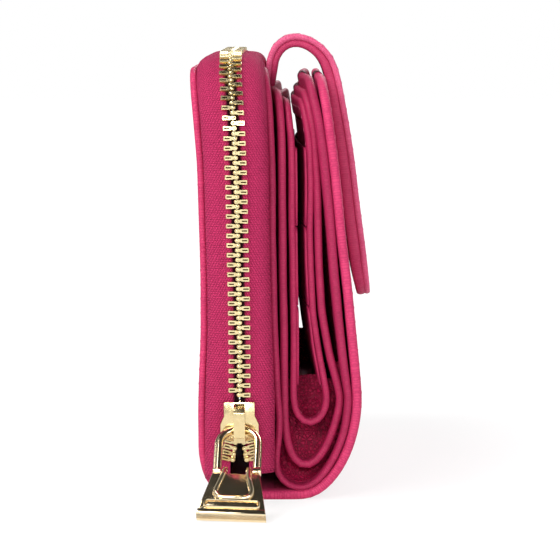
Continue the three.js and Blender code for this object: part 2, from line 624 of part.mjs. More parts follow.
function sliderAndPull() {
  const low = chainX(SLIDER_MIDDLE);
  const lean = Math.atan2(chainX(SHOULDER) - low, SHOULDER - SLIDER_MIDDLE);
  const slider = new THREE.Group();
  slider.position.set(low, ZIP_FRONT_Y, SLIDER_MIDDLE);
  slider.rotation.y = lean;
  wallet.add(slider);
  piece("slider_body", sliderBody(), GOLD, slider);
  piece("slider_crown", sliderCrown(), GOLD, slider);

  const turn = new THREE.Group();
  const bailReach = Math.hypot(BAIL_BAR, BAIL_THICK) / 2;
  const turnOut = -PLATE_OUT - GAP - (CROWN_SEAT + CROWN_WINDOW) / 2;
  turn.position.set(0, turnOut, -CROWN_LENGTH / 2 + CROWN_FOOT + bailReach + GAP);
  turn.rotation.set(THREE.MathUtils.degToRad(PULL_SLOPE), 0, THREE.MathUtils.degToRad(PULL_YAW), "ZXY");
  slider.add(turn);
  piece("pull_bail", bail(), GOLD, turn);
  const pivot = new THREE.Group();
  pivot.position.set(0, -BAIL_LENGTH, 0);
  turn.add(pivot);
  piece("pull_tag", tag(), GOLD, pivot);
}

// ---- Closure tab --------------------------------------------------------------------------------
const TAB_ROOT = new THREE.Vector2(innerLiningFace(COVER_HEIGHT) + TAB_THICK, COVER_HEIGHT + 2 * GAP);
const TAB_ARCH_X = TAB_ROOT.x + TAB_ROOT_RUN; // where the fixed root meets the free tab

// How far the tab's inner face stands off the cover at a height.
function standoff(z) {
  const share = (COVER_HEIGHT - z) / (COVER_HEIGHT - SNAP_HEIGHT);
  return TAB_STANDOFF + (TAB_SNAP_STANDOFF - TAB_STANDOFF) * Math.max(0, share);
}

// The tab's inner face: up from the coin case's top edge, over in an arch, and down the cover.
function tabCurve() {
  const topZ = COVER_HEIGHT + TAB_ARCH_RISE - TAB_THICK;
  const shoulder = COVER_HEIGHT - TAB_SHOULDER;
  const down = (share) => {
    const z = THREE.MathUtils.lerp(shoulder, TAB_TIP, share);
    return new THREE.Vector2(rightOutside(z) + standoff(z), z);
  };
  const span = down(0).x - TAB_ROOT.x;
  const arch = [
    [0, TAB_ROOT.y],
    [0, TAB_ROOT.y + 2.6],
    [0.09, topZ - 1.1],
    [0.26, topZ],
    [0.44, topZ - 0.5],
    [0.63, topZ - 2.2],
    [0.8, COVER_HEIGHT + 2],
  ];
  return new THREE.SplineCurve([
    ...arch.map(([share, z]) => new THREE.Vector2(TAB_ROOT.x + span * share, z)),
    ...[0, 0.29, 0.59, 0.81, 1].map(down),
  ]);
}

// One layer of the tab at a depth out from its inner face, between two places across the thickness.
function tabLayer(depth, thickness, inset, from, to) {
  const half = TAB_WIDTH / 2 - inset;
  const layer = strip(tabCurve(), depth, depth + thickness, 30, half);
  const low = TAB_TIP + inset;
  const corner = TAB_TIP_RADIUS;
  const mask = new THREE.Shape();
  mask.moveTo(-half, 2 * COVER_HEIGHT);
  mask.lineTo(-half, low + corner);
  mask.absarc(corner - half, low + corner, corner, Math.PI, 1.5 * Math.PI, false);
  mask.absarc(half - corner, low + corner, corner, 1.5 * Math.PI, 2 * Math.PI, false);
  mask.lineTo(half, 2 * COVER_HEIGHT);
  mask.closePath();
  return overlapOf(layer, alongX(mask, from, to));
}

// Places a turned part at the snap, its axis out of the cover's face.
function atSnap(profile) {
  const outline = profile.map(([radius, out]) => new THREE.Vector2(radius, out));
  const slope = (rightOutside(SNAP_HEIGHT + 5) - rightOutside(SNAP_HEIGHT - 5)) / 10;
  const turned = new THREE.LatheGeometry(outline, 20);
  turned.rotateZ(-Math.PI / 2).rotateY(Math.atan(slope));
  return turned.translate(rightOutside(SNAP_HEIGHT), 0, SNAP_HEIGHT);
}

function closureTab() {
  const hole = atSnap([
    [0, -1],
    [SNAP_SOCKET_RADIUS + GAP, -1],
    [SNAP_SOCKET_RADIUS + GAP, TAB_SNAP_STANDOFF + TAB_LINING + GAP * 0.8],
    [0, TAB_SNAP_STANDOFF + TAB_LINING + GAP * 0.8],
  ]);
  const freeLayer = (depth, thickness, inset) =>
    tabLayer(depth, thickness, inset, TAB_ARCH_X + GAP, 2 * COVER_HEIGHT);
  const stiffenerDepth = TAB_LINING + GAP;
  const leatherDepth = stiffenerDepth + TAB_STIFFENER + GAP;
  piece("tab_root", tabLayer(0, TAB_THICK, 0, -2 * COVER_HEIGHT, TAB_ARCH_X), LEATHER);
  piece("tab_lining", cut(freeLayer(0, TAB_LINING, 0.3), hole), LINING);
  piece("tab_stiffener", freeLayer(stiffenerDepth, TAB_STIFFENER, 2.5), BOARD);
  piece("tab_leather", freeLayer(leatherDepth, TAB_LEATHER, 0), LEATHER);
  const low = TAB_SNAP_STANDOFF - 0.1;
  const high = TAB_SNAP_STANDOFF + TAB_LINING - 0.1;
  const socket = [
    [SNAP_BORE, low],
    [SNAP_SOCKET_RADIUS, low],
    [SNAP_SOCKET_RADIUS, high],
    [SNAP_BORE, high],
    [SNAP_BORE, low],
  ];
  piece("snap_socket", atSnap(socket), GOLD);
  const base = GAP;
  const stud = [
    [0, base],
    [SNAP_BASE_RADIUS, base],
    [SNAP_BASE_RADIUS, base + 0.4],
    [SNAP_STUD_RADIUS - 0.3, base + 0.4],
    [SNAP_STUD_RADIUS, high - 0.9],
    [SNAP_STUD_RADIUS - 0.4, high - 0.5],
    [0, high - 0.3],
  ];
  piece("snap_stud", atSnap(stud), GOLD);
}

covers();
noteDivider();
cardPanels();
spineCover();
innerShellFold();
noteDividerFold();
cardPanelFold();
zip();
sliderAndPull();
closureTab();

export default wallet;
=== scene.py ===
# %% [markdown]
# # A compact bifold wallet with a zip-around coin case
# The construction, the sizes and every joint come from a fixed frame. What follows dresses that frame:
# leather sheets with turned edges, a woven zip tape, interlocking teeth, a polished slider and pull,
# thread, and a plain studio to see them in. Lengths are written in millimetres and turned into
# metres where a mesh is made.

# %% Load the frame
import json
from math import atan2, cos, hypot, pi, radians, sin, tau

import bmesh
import bpy
import numpy as np
from mathutils import Matrix, Vector


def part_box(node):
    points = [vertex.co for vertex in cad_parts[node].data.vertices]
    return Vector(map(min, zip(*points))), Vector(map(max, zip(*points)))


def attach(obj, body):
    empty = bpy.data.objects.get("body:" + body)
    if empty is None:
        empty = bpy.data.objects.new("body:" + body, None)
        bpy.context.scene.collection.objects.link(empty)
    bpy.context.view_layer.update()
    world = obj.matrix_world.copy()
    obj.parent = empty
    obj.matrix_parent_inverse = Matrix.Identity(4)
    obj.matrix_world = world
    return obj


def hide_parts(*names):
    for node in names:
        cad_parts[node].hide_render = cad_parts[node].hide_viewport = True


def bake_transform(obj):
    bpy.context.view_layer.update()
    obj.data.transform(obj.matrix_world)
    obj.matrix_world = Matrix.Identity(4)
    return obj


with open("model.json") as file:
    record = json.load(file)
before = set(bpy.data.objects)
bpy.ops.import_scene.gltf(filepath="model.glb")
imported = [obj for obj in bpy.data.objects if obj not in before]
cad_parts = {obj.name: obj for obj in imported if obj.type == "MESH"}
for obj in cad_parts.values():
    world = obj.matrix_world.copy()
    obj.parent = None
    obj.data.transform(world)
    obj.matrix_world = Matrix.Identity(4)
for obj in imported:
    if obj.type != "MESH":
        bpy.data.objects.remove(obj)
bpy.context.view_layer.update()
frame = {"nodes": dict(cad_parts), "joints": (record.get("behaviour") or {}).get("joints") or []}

MM = 0.001

# %% [markdown]
# ## Measuring the frame
# A leaf in the frame is a plain standing sheet, and a fold is a bent strip. Both are read back as a
# middle line seen from the wallet's end: where it is across the thickness (x) and how high (z). The
# folds could be drawn again by hand, but a line that is measured always fits the pieces around it.

# %% Points and leaves
def points_of(node):
    """A frame node's corners, in millimetres."""
    return np.array([v.co for v in frame["nodes"][node].data.vertices]) / MM


def leaf_faces(node):
    """Heights on a standing leaf, with its left and right faces' places at each height."""
    points = points_of(node)
    rows = {}
    for x, _, z in points:
        rows.setdefault(round(z, 1), []).append(x)
    usual = np.median([max(row) - min(row) for row in rows.values()])
    heights = sorted(z for z, row in rows.items() if abs(max(row) - min(row) - usual) < 0.2)
    left = [min(rows[z]) for z in heights]
    right = [max(rows[z]) for z in heights]
    return np.array(heights), np.array(left), np.array(right)


# %% Bent strips
def end_outline(node):
    """The outline of a node's far end, in order, as points (x, z)."""
    mesh = frame["nodes"][node].data
    far = max(v.co.y for v in mesh.vertices)
    seen = {}
    key_of = lambda v: (round(v.co.x, 6), round(v.co.z, 6))
    for polygon in mesh.polygons:
        corners = [mesh.vertices[i] for i in polygon.vertices]
        if all(far - v.co.y < 1e-5 for v in corners):
            keys = [key_of(v) for v in corners]
            for a, b in zip(keys, keys[1:] + keys[:1]):
                edge = (min(a, b), max(a, b))
                seen[edge] = seen.get(edge, 0) + 1
    beside = {}
    for (a, b), count in seen.items():
        if count == 1 and a != b:
            beside.setdefault(a, []).append(b)
            beside.setdefault(b, []).append(a)
    loop = [next(iter(beside))]
    while True:
        onward = [p for p in beside[loop[-1]] if len(loop) < 2 or p != loop[-2]]
        if not onward or onward[0] == loop[0]:
            return np.array(loop) / MM
        loop.append(onward[0])


def strip_sides(node):
    """The two long sides of a bent strip seen from its end, both in the same order."""
    loop = end_outline(node)
    before = loop - np.roll(loop, 1, axis=0)
    after = np.roll(loop, -1, axis=0) - loop
    turn = np.arctan2(before[:, 0] * after[:, 1] - before[:, 1] * after[:, 0], (before * after).sum(1))
    corners = sorted(np.argsort(-abs(turn))[:4])
    steps = [(corners[(i + 1) % 4] - corners[i]) % len(loop) for i in range(4)]
    first = 0 if steps[0] + steps[2] > steps[1] + steps[3] else 1
    take = lambda i: np.array([loop[(corners[i] + k) % len(loop)] for k in range(steps[i] + 1)])
    side, other = take(first), take(first + 2)[::-1]
    return (side, other) if len(side) == len(other) else (resample(side, 40), resample(other, 40))


# %% Even and eased lines
def resample(line, count):
    """The same line with a given number of evenly spaced points."""
    run = np.concatenate([[0], np.cumsum(np.hypot(*np.diff(line, axis=0).T))])
    at = np.linspace(0, run[-1], count)
    return np.column_stack([np.interp(at, run, line[:, k]) for k in range(line.shape[1])])


def softened(line, spacing=0.8, passes=4):
    """The line with even, close points and its small corners eased."""
    length = np.hypot(*np.diff(line, axis=0).T).sum()
    eased = resample(line, int(length / spacing) + 2)
    for _ in range(passes):
        eased[1:-1] = (eased[:-2] + 2 * eased[1:-1] + eased[2:]) / 4
    return eased


# %% The cover's sizes
cover_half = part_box("left_cover")[1].y / MM
cover_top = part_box("left_cover")[1].z / MM
top_points = points_of("left_cover")
cover_corner = cover_half - max(abs(p[1]) for p in top_points if cover_top - p[2] < 0.01)
print("cover: half length", cover_half, "top", cover_top, "corner", round(cover_corner, 2))

# %% [markdown]
# ## Sheets of leather
# Real leather goods are made of sheets whose edges are turned over and stitched, so an edge is round
# and about twice as thick as the middle. A plain solid with a bevel would show the round edge but not
# the turned hem, and a thickened plane would have sharp edges. Here each sheet is drawn flat first, as
# rings one inside the other: the outermost ring is the edge itself, the next ones climb over the round
# edge, cross the hem and step down to the thin middle. Then the whole drawing is laid along the
# sheet's middle line.

# %% A mesh object
def new_object(name, points, faces, finishes, face_finish=None, flat=None):
    """A smooth mesh object from points in millimetres. flat gives each point's place on the flat pattern."""
    mesh = bpy.data.meshes.new(name)
    mesh.from_pydata([tuple(p) for p in np.asarray(points) * MM], [], faces)
    mesh.validate()
    if flat is not None:
        layer = mesh.uv_layers.new(name="pattern")
        spots = [flat[loop.vertex_index] for loop in mesh.loops]
        layer.data.foreach_set("uv", np.array(spots, float).ravel())
    for finish in finishes:
        mesh.materials.append(finish)
    if face_finish is not None and len(face_finish) == len(mesh.polygons):
        mesh.polygons.foreach_set("material_index", face_finish)
    shell = bmesh.new()
    shell.from_mesh(mesh)
    bmesh.ops.recalc_face_normals(shell, faces=shell.faces)
    shell.to_mesh(mesh)
    shell.free()
    mesh.polygons.foreach_set("use_smooth", [True] * len(mesh.polygons))
    made = bpy.data.objects.new(name, mesh)
    bpy.context.scene.collection.objects.link(made)
    return made


# %% A sheet drawn flat
class Sheet:
    """A sheet drawn flat: s runs along its middle line, y along the spine."""

    def __init__(self, line, half, corners, wobble=0.0, phase=0.0, bow=0.0):
        self.line = line
        self.half = half
        self.corners = corners
        self.run = np.concatenate([[0], np.cumsum(np.hypot(*np.diff(line, axis=0).T))])
        self.length = self.run[-1]
        slope = np.gradient(line, self.run, axis=0)
        slope /= np.hypot(*slope.T)[:, None]
        self.normal = np.column_stack([-slope[:, 1], slope[:, 0]])
        self.wobble = wobble
        self.phase = phase
        self.bow = bow

    def ripple(self, s, y):
        """The small unevenness of real leather, in millimetres."""
        slow = sin(s * 0.11 + y * 0.05 + self.phase) + sin(y * 0.13 - s * 0.04 + 2 * self.phase)
        return self.wobble * (slow + 0.5 * sin(s * 0.31 + y * 0.23 + 3 * self.phase))

    def point(self, s, y, lift):
        """A place in space; lift is off the middle, towards the inside of the wallet where positive."""
        lift = lift + self.ripple(s, y)
        at = [np.interp(s, self.run, column) for column in (*self.line.T, *self.normal.T)]
        slack = self.bow * max(0, 1 - (y / self.half) ** 2) * min(1, max(0, (at[1] - 8) / 20))
        return (at[0] + at[2] * lift + slack, y, at[1] + at[3] * lift)

    def rows(self, spacing):
        """Rows across the flat drawing: which end they belong to, their angle there, and their place."""
        first, last = self.corners
        arc = lambda radius: [k * pi / 2 / 10 for k in range(10, 0, -1)] if radius > 1 else [pi / 2]
        low = max(first, 6.0)
        high = self.length - max(last, 6.0)
        middle = [(None, 0, s) for s in np.linspace(low, high, int((high - low) / spacing) + 2)]
        return [(0, a, 0) for a in arc(first)] + middle + [(1, a, 0) for a in arc(last)[::-1]]

    def spot(self, row, share, inset):
        """Where a row meets the outline at an inset; share runs from -1 to 1 across the sheet."""
        end, angle, s = row
        if end is None:
            return s, share * (self.half - inset)
        radius = self.corners[end]
        bend = max(radius - inset, 0)
        away = max(radius, inset) - bend * sin(angle)
        width = self.half - max(radius, inset) + bend * cos(angle)
        return (away if end == 0 else self.length - away), share * width


# %% One leather sheet
def leather_sheet(name, sheet, thick, edge, finishes, hem=4.2, spacing=1.7, columns=26, round_edge=None):
    """The sheet as a closed solid. thick and edge are one number each, or several along the line.

    A ring is how far it is inset, how high it stands, and how far it is from thick to edge.
    """
    def along(value, s):
        values = np.atleast_1d(value)
        return float(np.interp(s, np.linspace(0, sheet.length, len(values)), values))

    round_edge = round_edge or float(np.max(edge)) / 2
    rings = [(round_edge * (1 - cos(a)), sin(a), 1) for a in np.linspace(pi / 2, 0, 6)]
    if hem:
        step = [(hem + 0.7, 1, 0), (hem + 0.35, 1, 0.35), (hem, 1, 0.9)]
        rings = step + [(hem - 0.6, 1, 1), (hem / 2, 1, 1)] + rings
    rows = sheet.rows(spacing)
    shares = np.linspace(-1, 1, columns + 1)
    points, flat, faces, which = [], [], [], []

    def add(row, share, ring, side):
        inset, rise, at_edge = ring
        s, y = sheet.spot(row, share, inset)
        depth = along(thick, s) + (along(edge, s) - along(thick, s)) * at_edge
        points.append(sheet.point(s, y, side * rise * depth / 2))
        flat.append((s, y))
        return len(points) - 1

    def quad(a, b, c, d, side, finish=0):
        faces.append((a, b, c, d) if side > 0 else (d, c, b, a))
        which.append(finish)

    count = len(rows)
    border = [(i, 0) for i in range(count)] + [(count - 1, j) for j in range(1, columns)]
    border += [(i, columns) for i in range(count - 1, -1, -1)] + [(0, j) for j in range(columns - 1, 0, -1)]
    last_loop = None
    for side in (1, -1):
        inner = 1 if side > 0 and len(finishes) > 1 else 0
        grid = [[add(row, share, rings[0], side) for share in shares] for row in rows]
        for i in range(count - 1):
            for j in range(columns):
                quad(grid[i][j], grid[i][j + 1], grid[i + 1][j + 1], grid[i + 1][j], side, inner)
        loop = [grid[i][j] for i, j in border]
        for k, ring in enumerate(rings[1:]):
            final = k == len(rings) - 2
            if final and last_loop:
                onward = last_loop
            else:
                onward = [add(rows[i], shares[j], ring, side) for i, j in border]
            for m in range(len(border)):
                n = (m + 1) % len(border)
                quad(loop[m], loop[n], onward[n], onward[m], side)
            loop = onward
        last_loop = loop
    return new_object(name, points, faces, finishes, which, flat)


# %% [markdown]
# ## Thread
# A sewn line is a row of short, slightly sunken loops of thread. A dashed texture would look right
# only from far away, so each stitch is a small round bar of its own that dips at both ends.

# %% One stitch
def stitch_bar(path, radius, sink, points, faces, normal_at):
    """Adds one stitch that follows a few points, thinner and deeper at its ends."""
    base = len(points)
    sides = 6
    for k, centre in enumerate(path):
        onward = Vector(path[min(k + 1, len(path) - 1)]) - Vector(path[max(k - 1, 0)])
        onward.normalize()
        up = Vector(normal_at[k]).normalized()
        beside = onward.cross(up).normalized()
        u = 2 * k / (len(path) - 1) - 1
        size = radius * (1 - 0.55 * u * u)
        middle = Vector(centre) + up * (-radius * 0.35 - sink * u * u)
        for m in range(sides):
            turn = tau * m / sides
            points.append(middle + beside * (size * cos(turn)) + up * (size * sin(turn)))
    for k in range(len(path) - 1):
        for m in range(sides):
            a, b = base + k * sides + m, base + k * sides + (m + 1) % sides
            faces.append((a, b, b + sides, a + sides))
    faces.append(tuple(base + m for m in range(sides))[::-1])
    faces.append(tuple(base + (len(path) - 1) * sides + m for m in range(sides)))


# %% A row of stitches along a sheet
def stitching(name, sheet, lift, inset, rows_kept, finish, pitch=3.1, length=2.3, radius=0.22):
    """Stitches along the sheet's outline at an inset, on the skin at a lift from its middle."""
    rows = sheet.rows(1.2)
    side = np.sign(lift)
    border = [sheet.spot(row, -1, inset) for row in rows]
    border += [sheet.spot(rows[-1], share, inset) for share in np.linspace(-0.98, 0.98, 60)]
    border += [sheet.spot(row, 1, inset) for row in rows[::-1]]
    if sheet.corners[0] > 1:
        border += [sheet.spot(rows[0], share, inset) for share in np.linspace(0.98, -0.98, 60)]
    flat = np.array([spot for spot in border if rows_kept(*spot)])
    step = np.hypot(*np.diff(flat, axis=0).T)
    run = np.concatenate([[0], np.cumsum(step)])
    points, faces = [], []
    jumps = [(run[k], run[k + 1]) for k in np.flatnonzero(step > 8)]  # where the outline was left out
    for start in np.arange(pitch / 2, run[-1] - pitch, pitch):
        if any(start < after and start + length > before for before, after in jumps):
            continue
        at = start + np.linspace(0, length, 5)
        spots = np.column_stack([np.interp(at, run, flat[:, k]) for k in (0, 1)])
        if hypot(*(spots[-1] - spots[0])) < length * 0.8 or hypot(*(spots[-1] - spots[0])) > length * 1.2:
            continue
        path = [sheet.point(s, y, lift) for s, y in spots]
        outer = [np.array(sheet.point(s, y, lift + side)) - sheet.point(s, y, lift) for s, y in spots]
        stitch_bar(path, radius, radius * 1.3, points, faces, outer)
    print(name, len(points) // 30, "stitches")
    return new_object(name, points, faces, [finish])

# %% [markdown]
# ## Writing a finish
# Each material is a small network of shader nodes. Wiring them one by one hides the idea, so a value
# is wrapped in a small class and written as arithmetic: `1 - ridge * 0.4` adds the Math nodes itself.

# %% The shader language
class Wire:
    """An output of a shader node, used in arithmetic like a number."""

    def __init__(self, finish, socket):
        self.finish = finish
        self.socket = socket

    def apply(self, operation, *values):
        return self.finish.node("ShaderNodeMath", {"operation": operation}, dict(enumerate(values)))

    def __add__(self, other):
        return self.apply("ADD", self, other)

    def __sub__(self, other):
        return self.apply("SUBTRACT", self, other)

    def __rsub__(self, other):
        return self.apply("SUBTRACT", other, self)

    def __mul__(self, other):
        return self.apply("MULTIPLY", self, other)

    __radd__ = __add__
    __rmul__ = __mul__

    def wave(self):
        return self.apply("SINE", self)

    def size(self):
        return self.apply("ABSOLUTE", self)

    def power(self, exponent):
        return self.apply("POWER", self, exponent)

    def clipped(self):
        return self.finish.node("ShaderNodeClamp", {}, {0: self})

    def above(self, low, high):
        """0 below low, 1 above high, smooth between."""
        sockets = {0: self, 1: low, 2: high, 3: 0.0, 4: 1.0}
        return self.finish.node("ShaderNodeMapRange", {"interpolation_type": "SMOOTHSTEP"}, sockets)


# %% A colour and a material
def colour(code):
    """A colour written as six hex digits, as the linear colour that shaders use."""
    parts = [int(code[i:i + 2], 16) / 255 for i in (0, 2, 4)]
    return [p / 12.92 if p <= 0.04045 else ((p + 0.055) / 1.055) ** 2.4 for p in parts] + [1.0]


class Finish:
    """A material being written."""

    def __init__(self, name):
        self.material = bpy.data.materials.new(name)
        self.material.use_nodes = True
        self.tree = self.material.node_tree
        self.shader = self.tree.nodes["Principled BSDF"]

    def node(self, kind, settings=None, sockets=None, output=0):
        made = self.tree.nodes.new(kind)
        for key, value in (settings or {}).items():
            setattr(made, key, value)
        for key, value in (sockets or {}).items():
            self.set_socket(made.inputs[key], value)
        return Wire(self, made.outputs[output])

    def set_socket(self, socket, value):
        if isinstance(value, Wire):
            self.tree.links.new(value.socket, socket)
        else:
            socket.default_value = value

    def place(self, on_pattern=True):
        """Where a point is, in millimetres: on the flat pattern, or in the object itself."""
        if on_pattern:
            return self.node("ShaderNodeUVMap", {"uv_map": "pattern"})
        spot = self.node("ShaderNodeTexCoord", output=3)
        return self.node("ShaderNodeVectorMath", {"operation": "SCALE"}, {0: spot, "Scale": 1 / MM})

    def noise(self, place, per_mm, detail=3.0):
        return self.node("ShaderNodeTexNoise", {}, {"Vector": place, "Scale": per_mm, "Detail": detail})

    def cells(self, place, per_mm, feature="DISTANCE_TO_EDGE", dimensions="2D"):
        settings = {"feature": feature, "voronoi_dimensions": dimensions}
        output = "Distance"
        return self.node("ShaderNodeTexVoronoi", settings, {"Vector": place, "Scale": per_mm}, output)

    def part(self, place, axis):
        return self.node("ShaderNodeSeparateXYZ", {}, {0: place}, axis)

    def between(self, first, second, share):
        """A colour part of the way from one to another."""
        return self.node("ShaderNodeMix", {"data_type": "RGBA"}, {0: share, 6: first, 7: second}, 2)

    def bump(self, height, distance, strength=1.0):
        sockets = {"Height": height, "Distance": distance * MM, "Strength": strength}
        return self.node("ShaderNodeBump", {}, sockets)

    def surface(self, **sockets):
        for name, value in sockets.items():
            self.set_socket(self.shader.inputs[name.replace("_", " ")], value)
        return self.material


# %% [markdown]
# ## Leather
# Full-grain leather is not one colour: the tops of its pebbles are lighter and smoother than the
# creases between them, and dye pools in slow patches. A scanned hide would show that too, but it
# repeats and has a fixed size. Cells give the pebbles, two sizes of noise give the pores and patches,
# and the same height drives colour, roughness and bump so that they agree.

# %% Leather finishes
def leather(name, tops, creases, pebble=0.55, depth=0.05, roughness=0.5, on_pattern=True):
    finish = Finish(name)
    place = finish.place(on_pattern)
    dimensions = "2D" if on_pattern else "3D"
    pebbles = finish.cells(place, 1 / pebble, dimensions=dimensions).above(0.0, 0.32)
    pores = finish.noise(place, 3.4 / pebble, 4.0)
    patches = finish.noise(place, 0.09, 3.0).above(0.3, 0.7)
    drift = finish.noise(place, 0.35, 2.0).above(0.35, 0.65)
    height = pebbles * 0.7 + pores * 0.5
    worn = (pebbles * 0.6 + patches * 0.22 + drift * 0.18).clipped()
    shade = finish.between(colour(creases), colour(tops), worn)
    rough = roughness + 0.1 - pebbles * 0.08 - patches * 0.05 + pores * 0.04
    return finish.surface(
        Base_Color=shade,
        Roughness=rough,
        Normal=finish.bump(height, depth),
        Specular_IOR_Level=0.2,
    )


cover_leather = leather("cover_leather", "c93a68", "a72652", 0.6, 0.05)
turned_leather = leather("turned_leather", "a82550", "8a183f", 0.4, 0.02, 0.46)
leaf_leather = leather("leaf_leather", "a62450", "88183e", 0.45, 0.03)
deep_leather = leather("deep_leather", "b81a4c", "8a0833", 1.0, 0.14, 0.5)
web_leather = leather("web_leather", "a90f42", "5e0222", 0.75, 0.2, 0.5, False)
strap_leather = leather("strap_leather", "bd3963", "a52a51", 0.4, 0.03, 0.5)
# painted highlight: the strap's outer layer is a lighter pink than its inner leather, for the light its
# round turned edge catches
strap_painted_highlight = leather("strap_painted_highlight", "d85f86", "c0446d", 0.35, 0.02, 0.42)

# %% [markdown]
# ## Tape, lining and thread
# Zip tape is woven in short floats that step sideways from row to row. On the flat pattern that is a
# product of two waves, with each row moved a little under half a float over from the last. Modelled
# threads would be truer still, but they are finer than the wallet is ever seen from.

# %% Woven finishes
def woven(name, tops, gaps, float_length=0.8, row=0.5, depth=0.17, under_teeth=None):
    finish = Finish(name)
    place = finish.place()
    stray = finish.noise(place, 1.3, 2.0)
    across = finish.part(place, 0) + stray * 0.35
    along = finish.part(place, 1) + stray * 0.25
    line = along * (1 / row)
    shifted = across * (1 / float_length) + line * 0.45
    floats = (shifted * pi).wave().size().power(0.7) * (line * pi).wave().size().power(0.5)
    fuzz = finish.noise(place, 6.0, 3.0)
    light = (floats * 0.75 + fuzz * 0.3 + finish.noise(place, 0.25) * 0.25 - 0.15).clipped()
    shade = finish.between(colour(gaps), colour(tops), light)
    # painted shade: close to the chain the tape is painted almost black, fading out across the band given,
    # for the shade under and between the teeth
    if under_teeth:
        clear = finish.part(place, 0).above(*under_teeth)
        shade = finish.between(colour("1c040c"), shade, clear)
    return finish.surface(
        Base_Color=shade,
        Roughness=0.72 + fuzz * 0.15,
        Normal=finish.bump(floats + fuzz * 0.25, depth),
        Specular_IOR_Level=0.1,
    )


# %% Thread finish, and the woven ones in use
def spun(name, light, dark):
    """Thread: two plies laid round each other."""
    finish = Finish(name)
    place = finish.place(False)
    ply = finish.part(place, 0) + finish.part(place, 1) + finish.part(place, 2)
    twist = (ply * 9.0).wave().size()
    return finish.surface(
        Base_Color=finish.between(colour(dark), colour(light), twist),
        Roughness=0.55 + twist * 0.1,
        Normal=finish.bump(twist, 0.05),
        Sheen_Weight=0.2,
    )


# the tape carries a near-black band of painted shade beside the chain
tape_cloth = woven("tape_cloth", "b9325e", "861a41", under_teeth=(1.3, 2.2))
lining_cloth = woven("lining_cloth", "a12a55", "6f1237", 0.5, 0.3, 0.05)
thread = spun("thread", "d4517c", "a32850")

# %% [markdown]
# ## Gold plate
# The metal is die-cast and plated: almost a mirror, with faint swirls from polishing and a little
# unevenness left by the casting. A perfect mirror looks computed, so roughness and bump both drift.

# %% Metal finishes
def plated(name, light, deep, roughness, cast=0.02):
    finish = Finish(name)
    place = finish.place(False)
    swirl = finish.noise(place, 0.7, 4.0)
    grain = finish.noise(place, 9.0, 2.0)
    smudge = finish.noise(place, 0.22, 2.0).above(0.4, 0.7)
    return finish.surface(
        Base_Color=finish.between(colour(deep), colour(light), (swirl * 0.8 + 0.2).clipped()),
        Metallic=1.0,
        Roughness=roughness + smudge * 0.08 + grain * 0.04,
        Normal=finish.bump(swirl + grain * 0.1, cast),
    )


polished_gold = plated("polished_gold", "fae9c8", "e8cd9b", 0.06)
brushed_gold = plated("brushed_gold", "f1deb0", "d9be82", 0.15, 0.03)
tooth_gold = plated("tooth_gold", "efe0b4", "d3bc82", 0.22, 0.03)
# painted shade: the pressed pit of each tooth is plated a dark brown, for the shade in the hollow
tooth_pit_painted_shade = plated("tooth_pit_painted_shade", "6e5a30", "40321a", 0.5, 0.03)
print("finishes", len(bpy.data.materials))

# %% [markdown]
# ## The outer cover
# One hide runs down the coin case's outside, along the spine and up the other side. Two joints cross
# it. It could be one mesh, but a bend can follow only one joint, so it is cut in two and butted under
# the coin case, where the wallet stands on the seam. The coin case's side carries its lining inside.

# %% Middle lines of the leaves and bends
def standing(node, other=None):
    """The middle line of a leaf, from its top down to its foot, and its thickness."""
    heights, left, right = leaf_faces(node)
    if other:
        others, other_left, other_right = leaf_faces(other)
        left = np.minimum(left, np.interp(heights, others, other_left))
        right = np.maximum(right, np.interp(heights, others, other_right))
    line = np.column_stack([(left + right) / 2, heights])[::-1]
    return line, float(np.median(right - left))


def bend(node):
    """The middle line of a bent strip, from its left end to its right."""
    side, other = strip_sides(node)
    line = (side + other) / 2
    return line if line[0, 0] < line[-1, 0] else line[::-1]


# %% Outer cover
BUTT_SEAM = -4.0  # across the thickness, where the two parts of the outer cover meet
left_leaf, left_thick = standing("left_cover", "left_cover_lining")
right_leaf, right_thick = standing("right_cover")
spine_line = bend("spine_cover")
spine_thick = 2 * spine_line[len(spine_line) // 2, 1]

TOP_HEM = 1.8  # the zip-side covers' turned top edges stand a little above their boards
butt = [BUTT_SEAM, spine_thick / 2]
left_bend = spine_line[spine_line[:, 0] < BUTT_SEAM]
right_bend = spine_line[spine_line[:, 0] > BUTT_SEAM]
left_line = np.vstack([left_leaf[0] + [0, TOP_HEM], left_leaf, left_bend, butt])
right_line = np.vstack([butt, right_bend, right_leaf[::-1]])
left_sheet = Sheet(softened(left_line), cover_half, (cover_corner, 0), 0.05, 0.4)
right_sheet = Sheet(softened(right_line), cover_half, (0, cover_corner), 0.07, 1.3)
left_depth = (left_thick, left_thick, left_thick, spine_thick)
left_cover = leather_sheet(
    "outer_cover_left", left_sheet, left_thick, left_depth, [cover_leather, lining_cloth])
right_cover = leather_sheet(
    "outer_cover_right", right_sheet, right_thick, right_thick + 0.3, [cover_leather, deep_leather])
print("outer cover", round(left_sheet.length, 1), "and", round(right_sheet.length, 1), "mm along")

# %% Cover stitching
STITCH_INSET = 3.0  # from the covers' edges
left_end = left_sheet.length - 14  # the sewn lines stop where the covers turn under
RIGHT_START = 26
left_stitches = stitching(
    "cover_stitching_left", left_sheet, -left_thick / 2, STITCH_INSET, lambda s, y: s < left_end, thread)
right_stitches = stitching(
    "cover_stitching_right", right_sheet, -right_thick / 2 - 0.15, STITCH_INSET,
    lambda s, y: s > RIGHT_START, thread)

# %% [markdown]
# ## The inner leaves
# Inside the cover three more sheets are folded one in the other: the coin case's inner side with the
# lining leaf, the note divider, and the card panel with its slots. Separate leaves joined to a tube
# would show a step at each fold. So each is one sheet from its left top edge, round its fold, to its
# right top edge, as the leather is cut, and it sags a little between its stiff ends.

# %% Folded leaves
LEAF_BOW = -1.9  # how far the leaves sag towards the coin case, half way along them


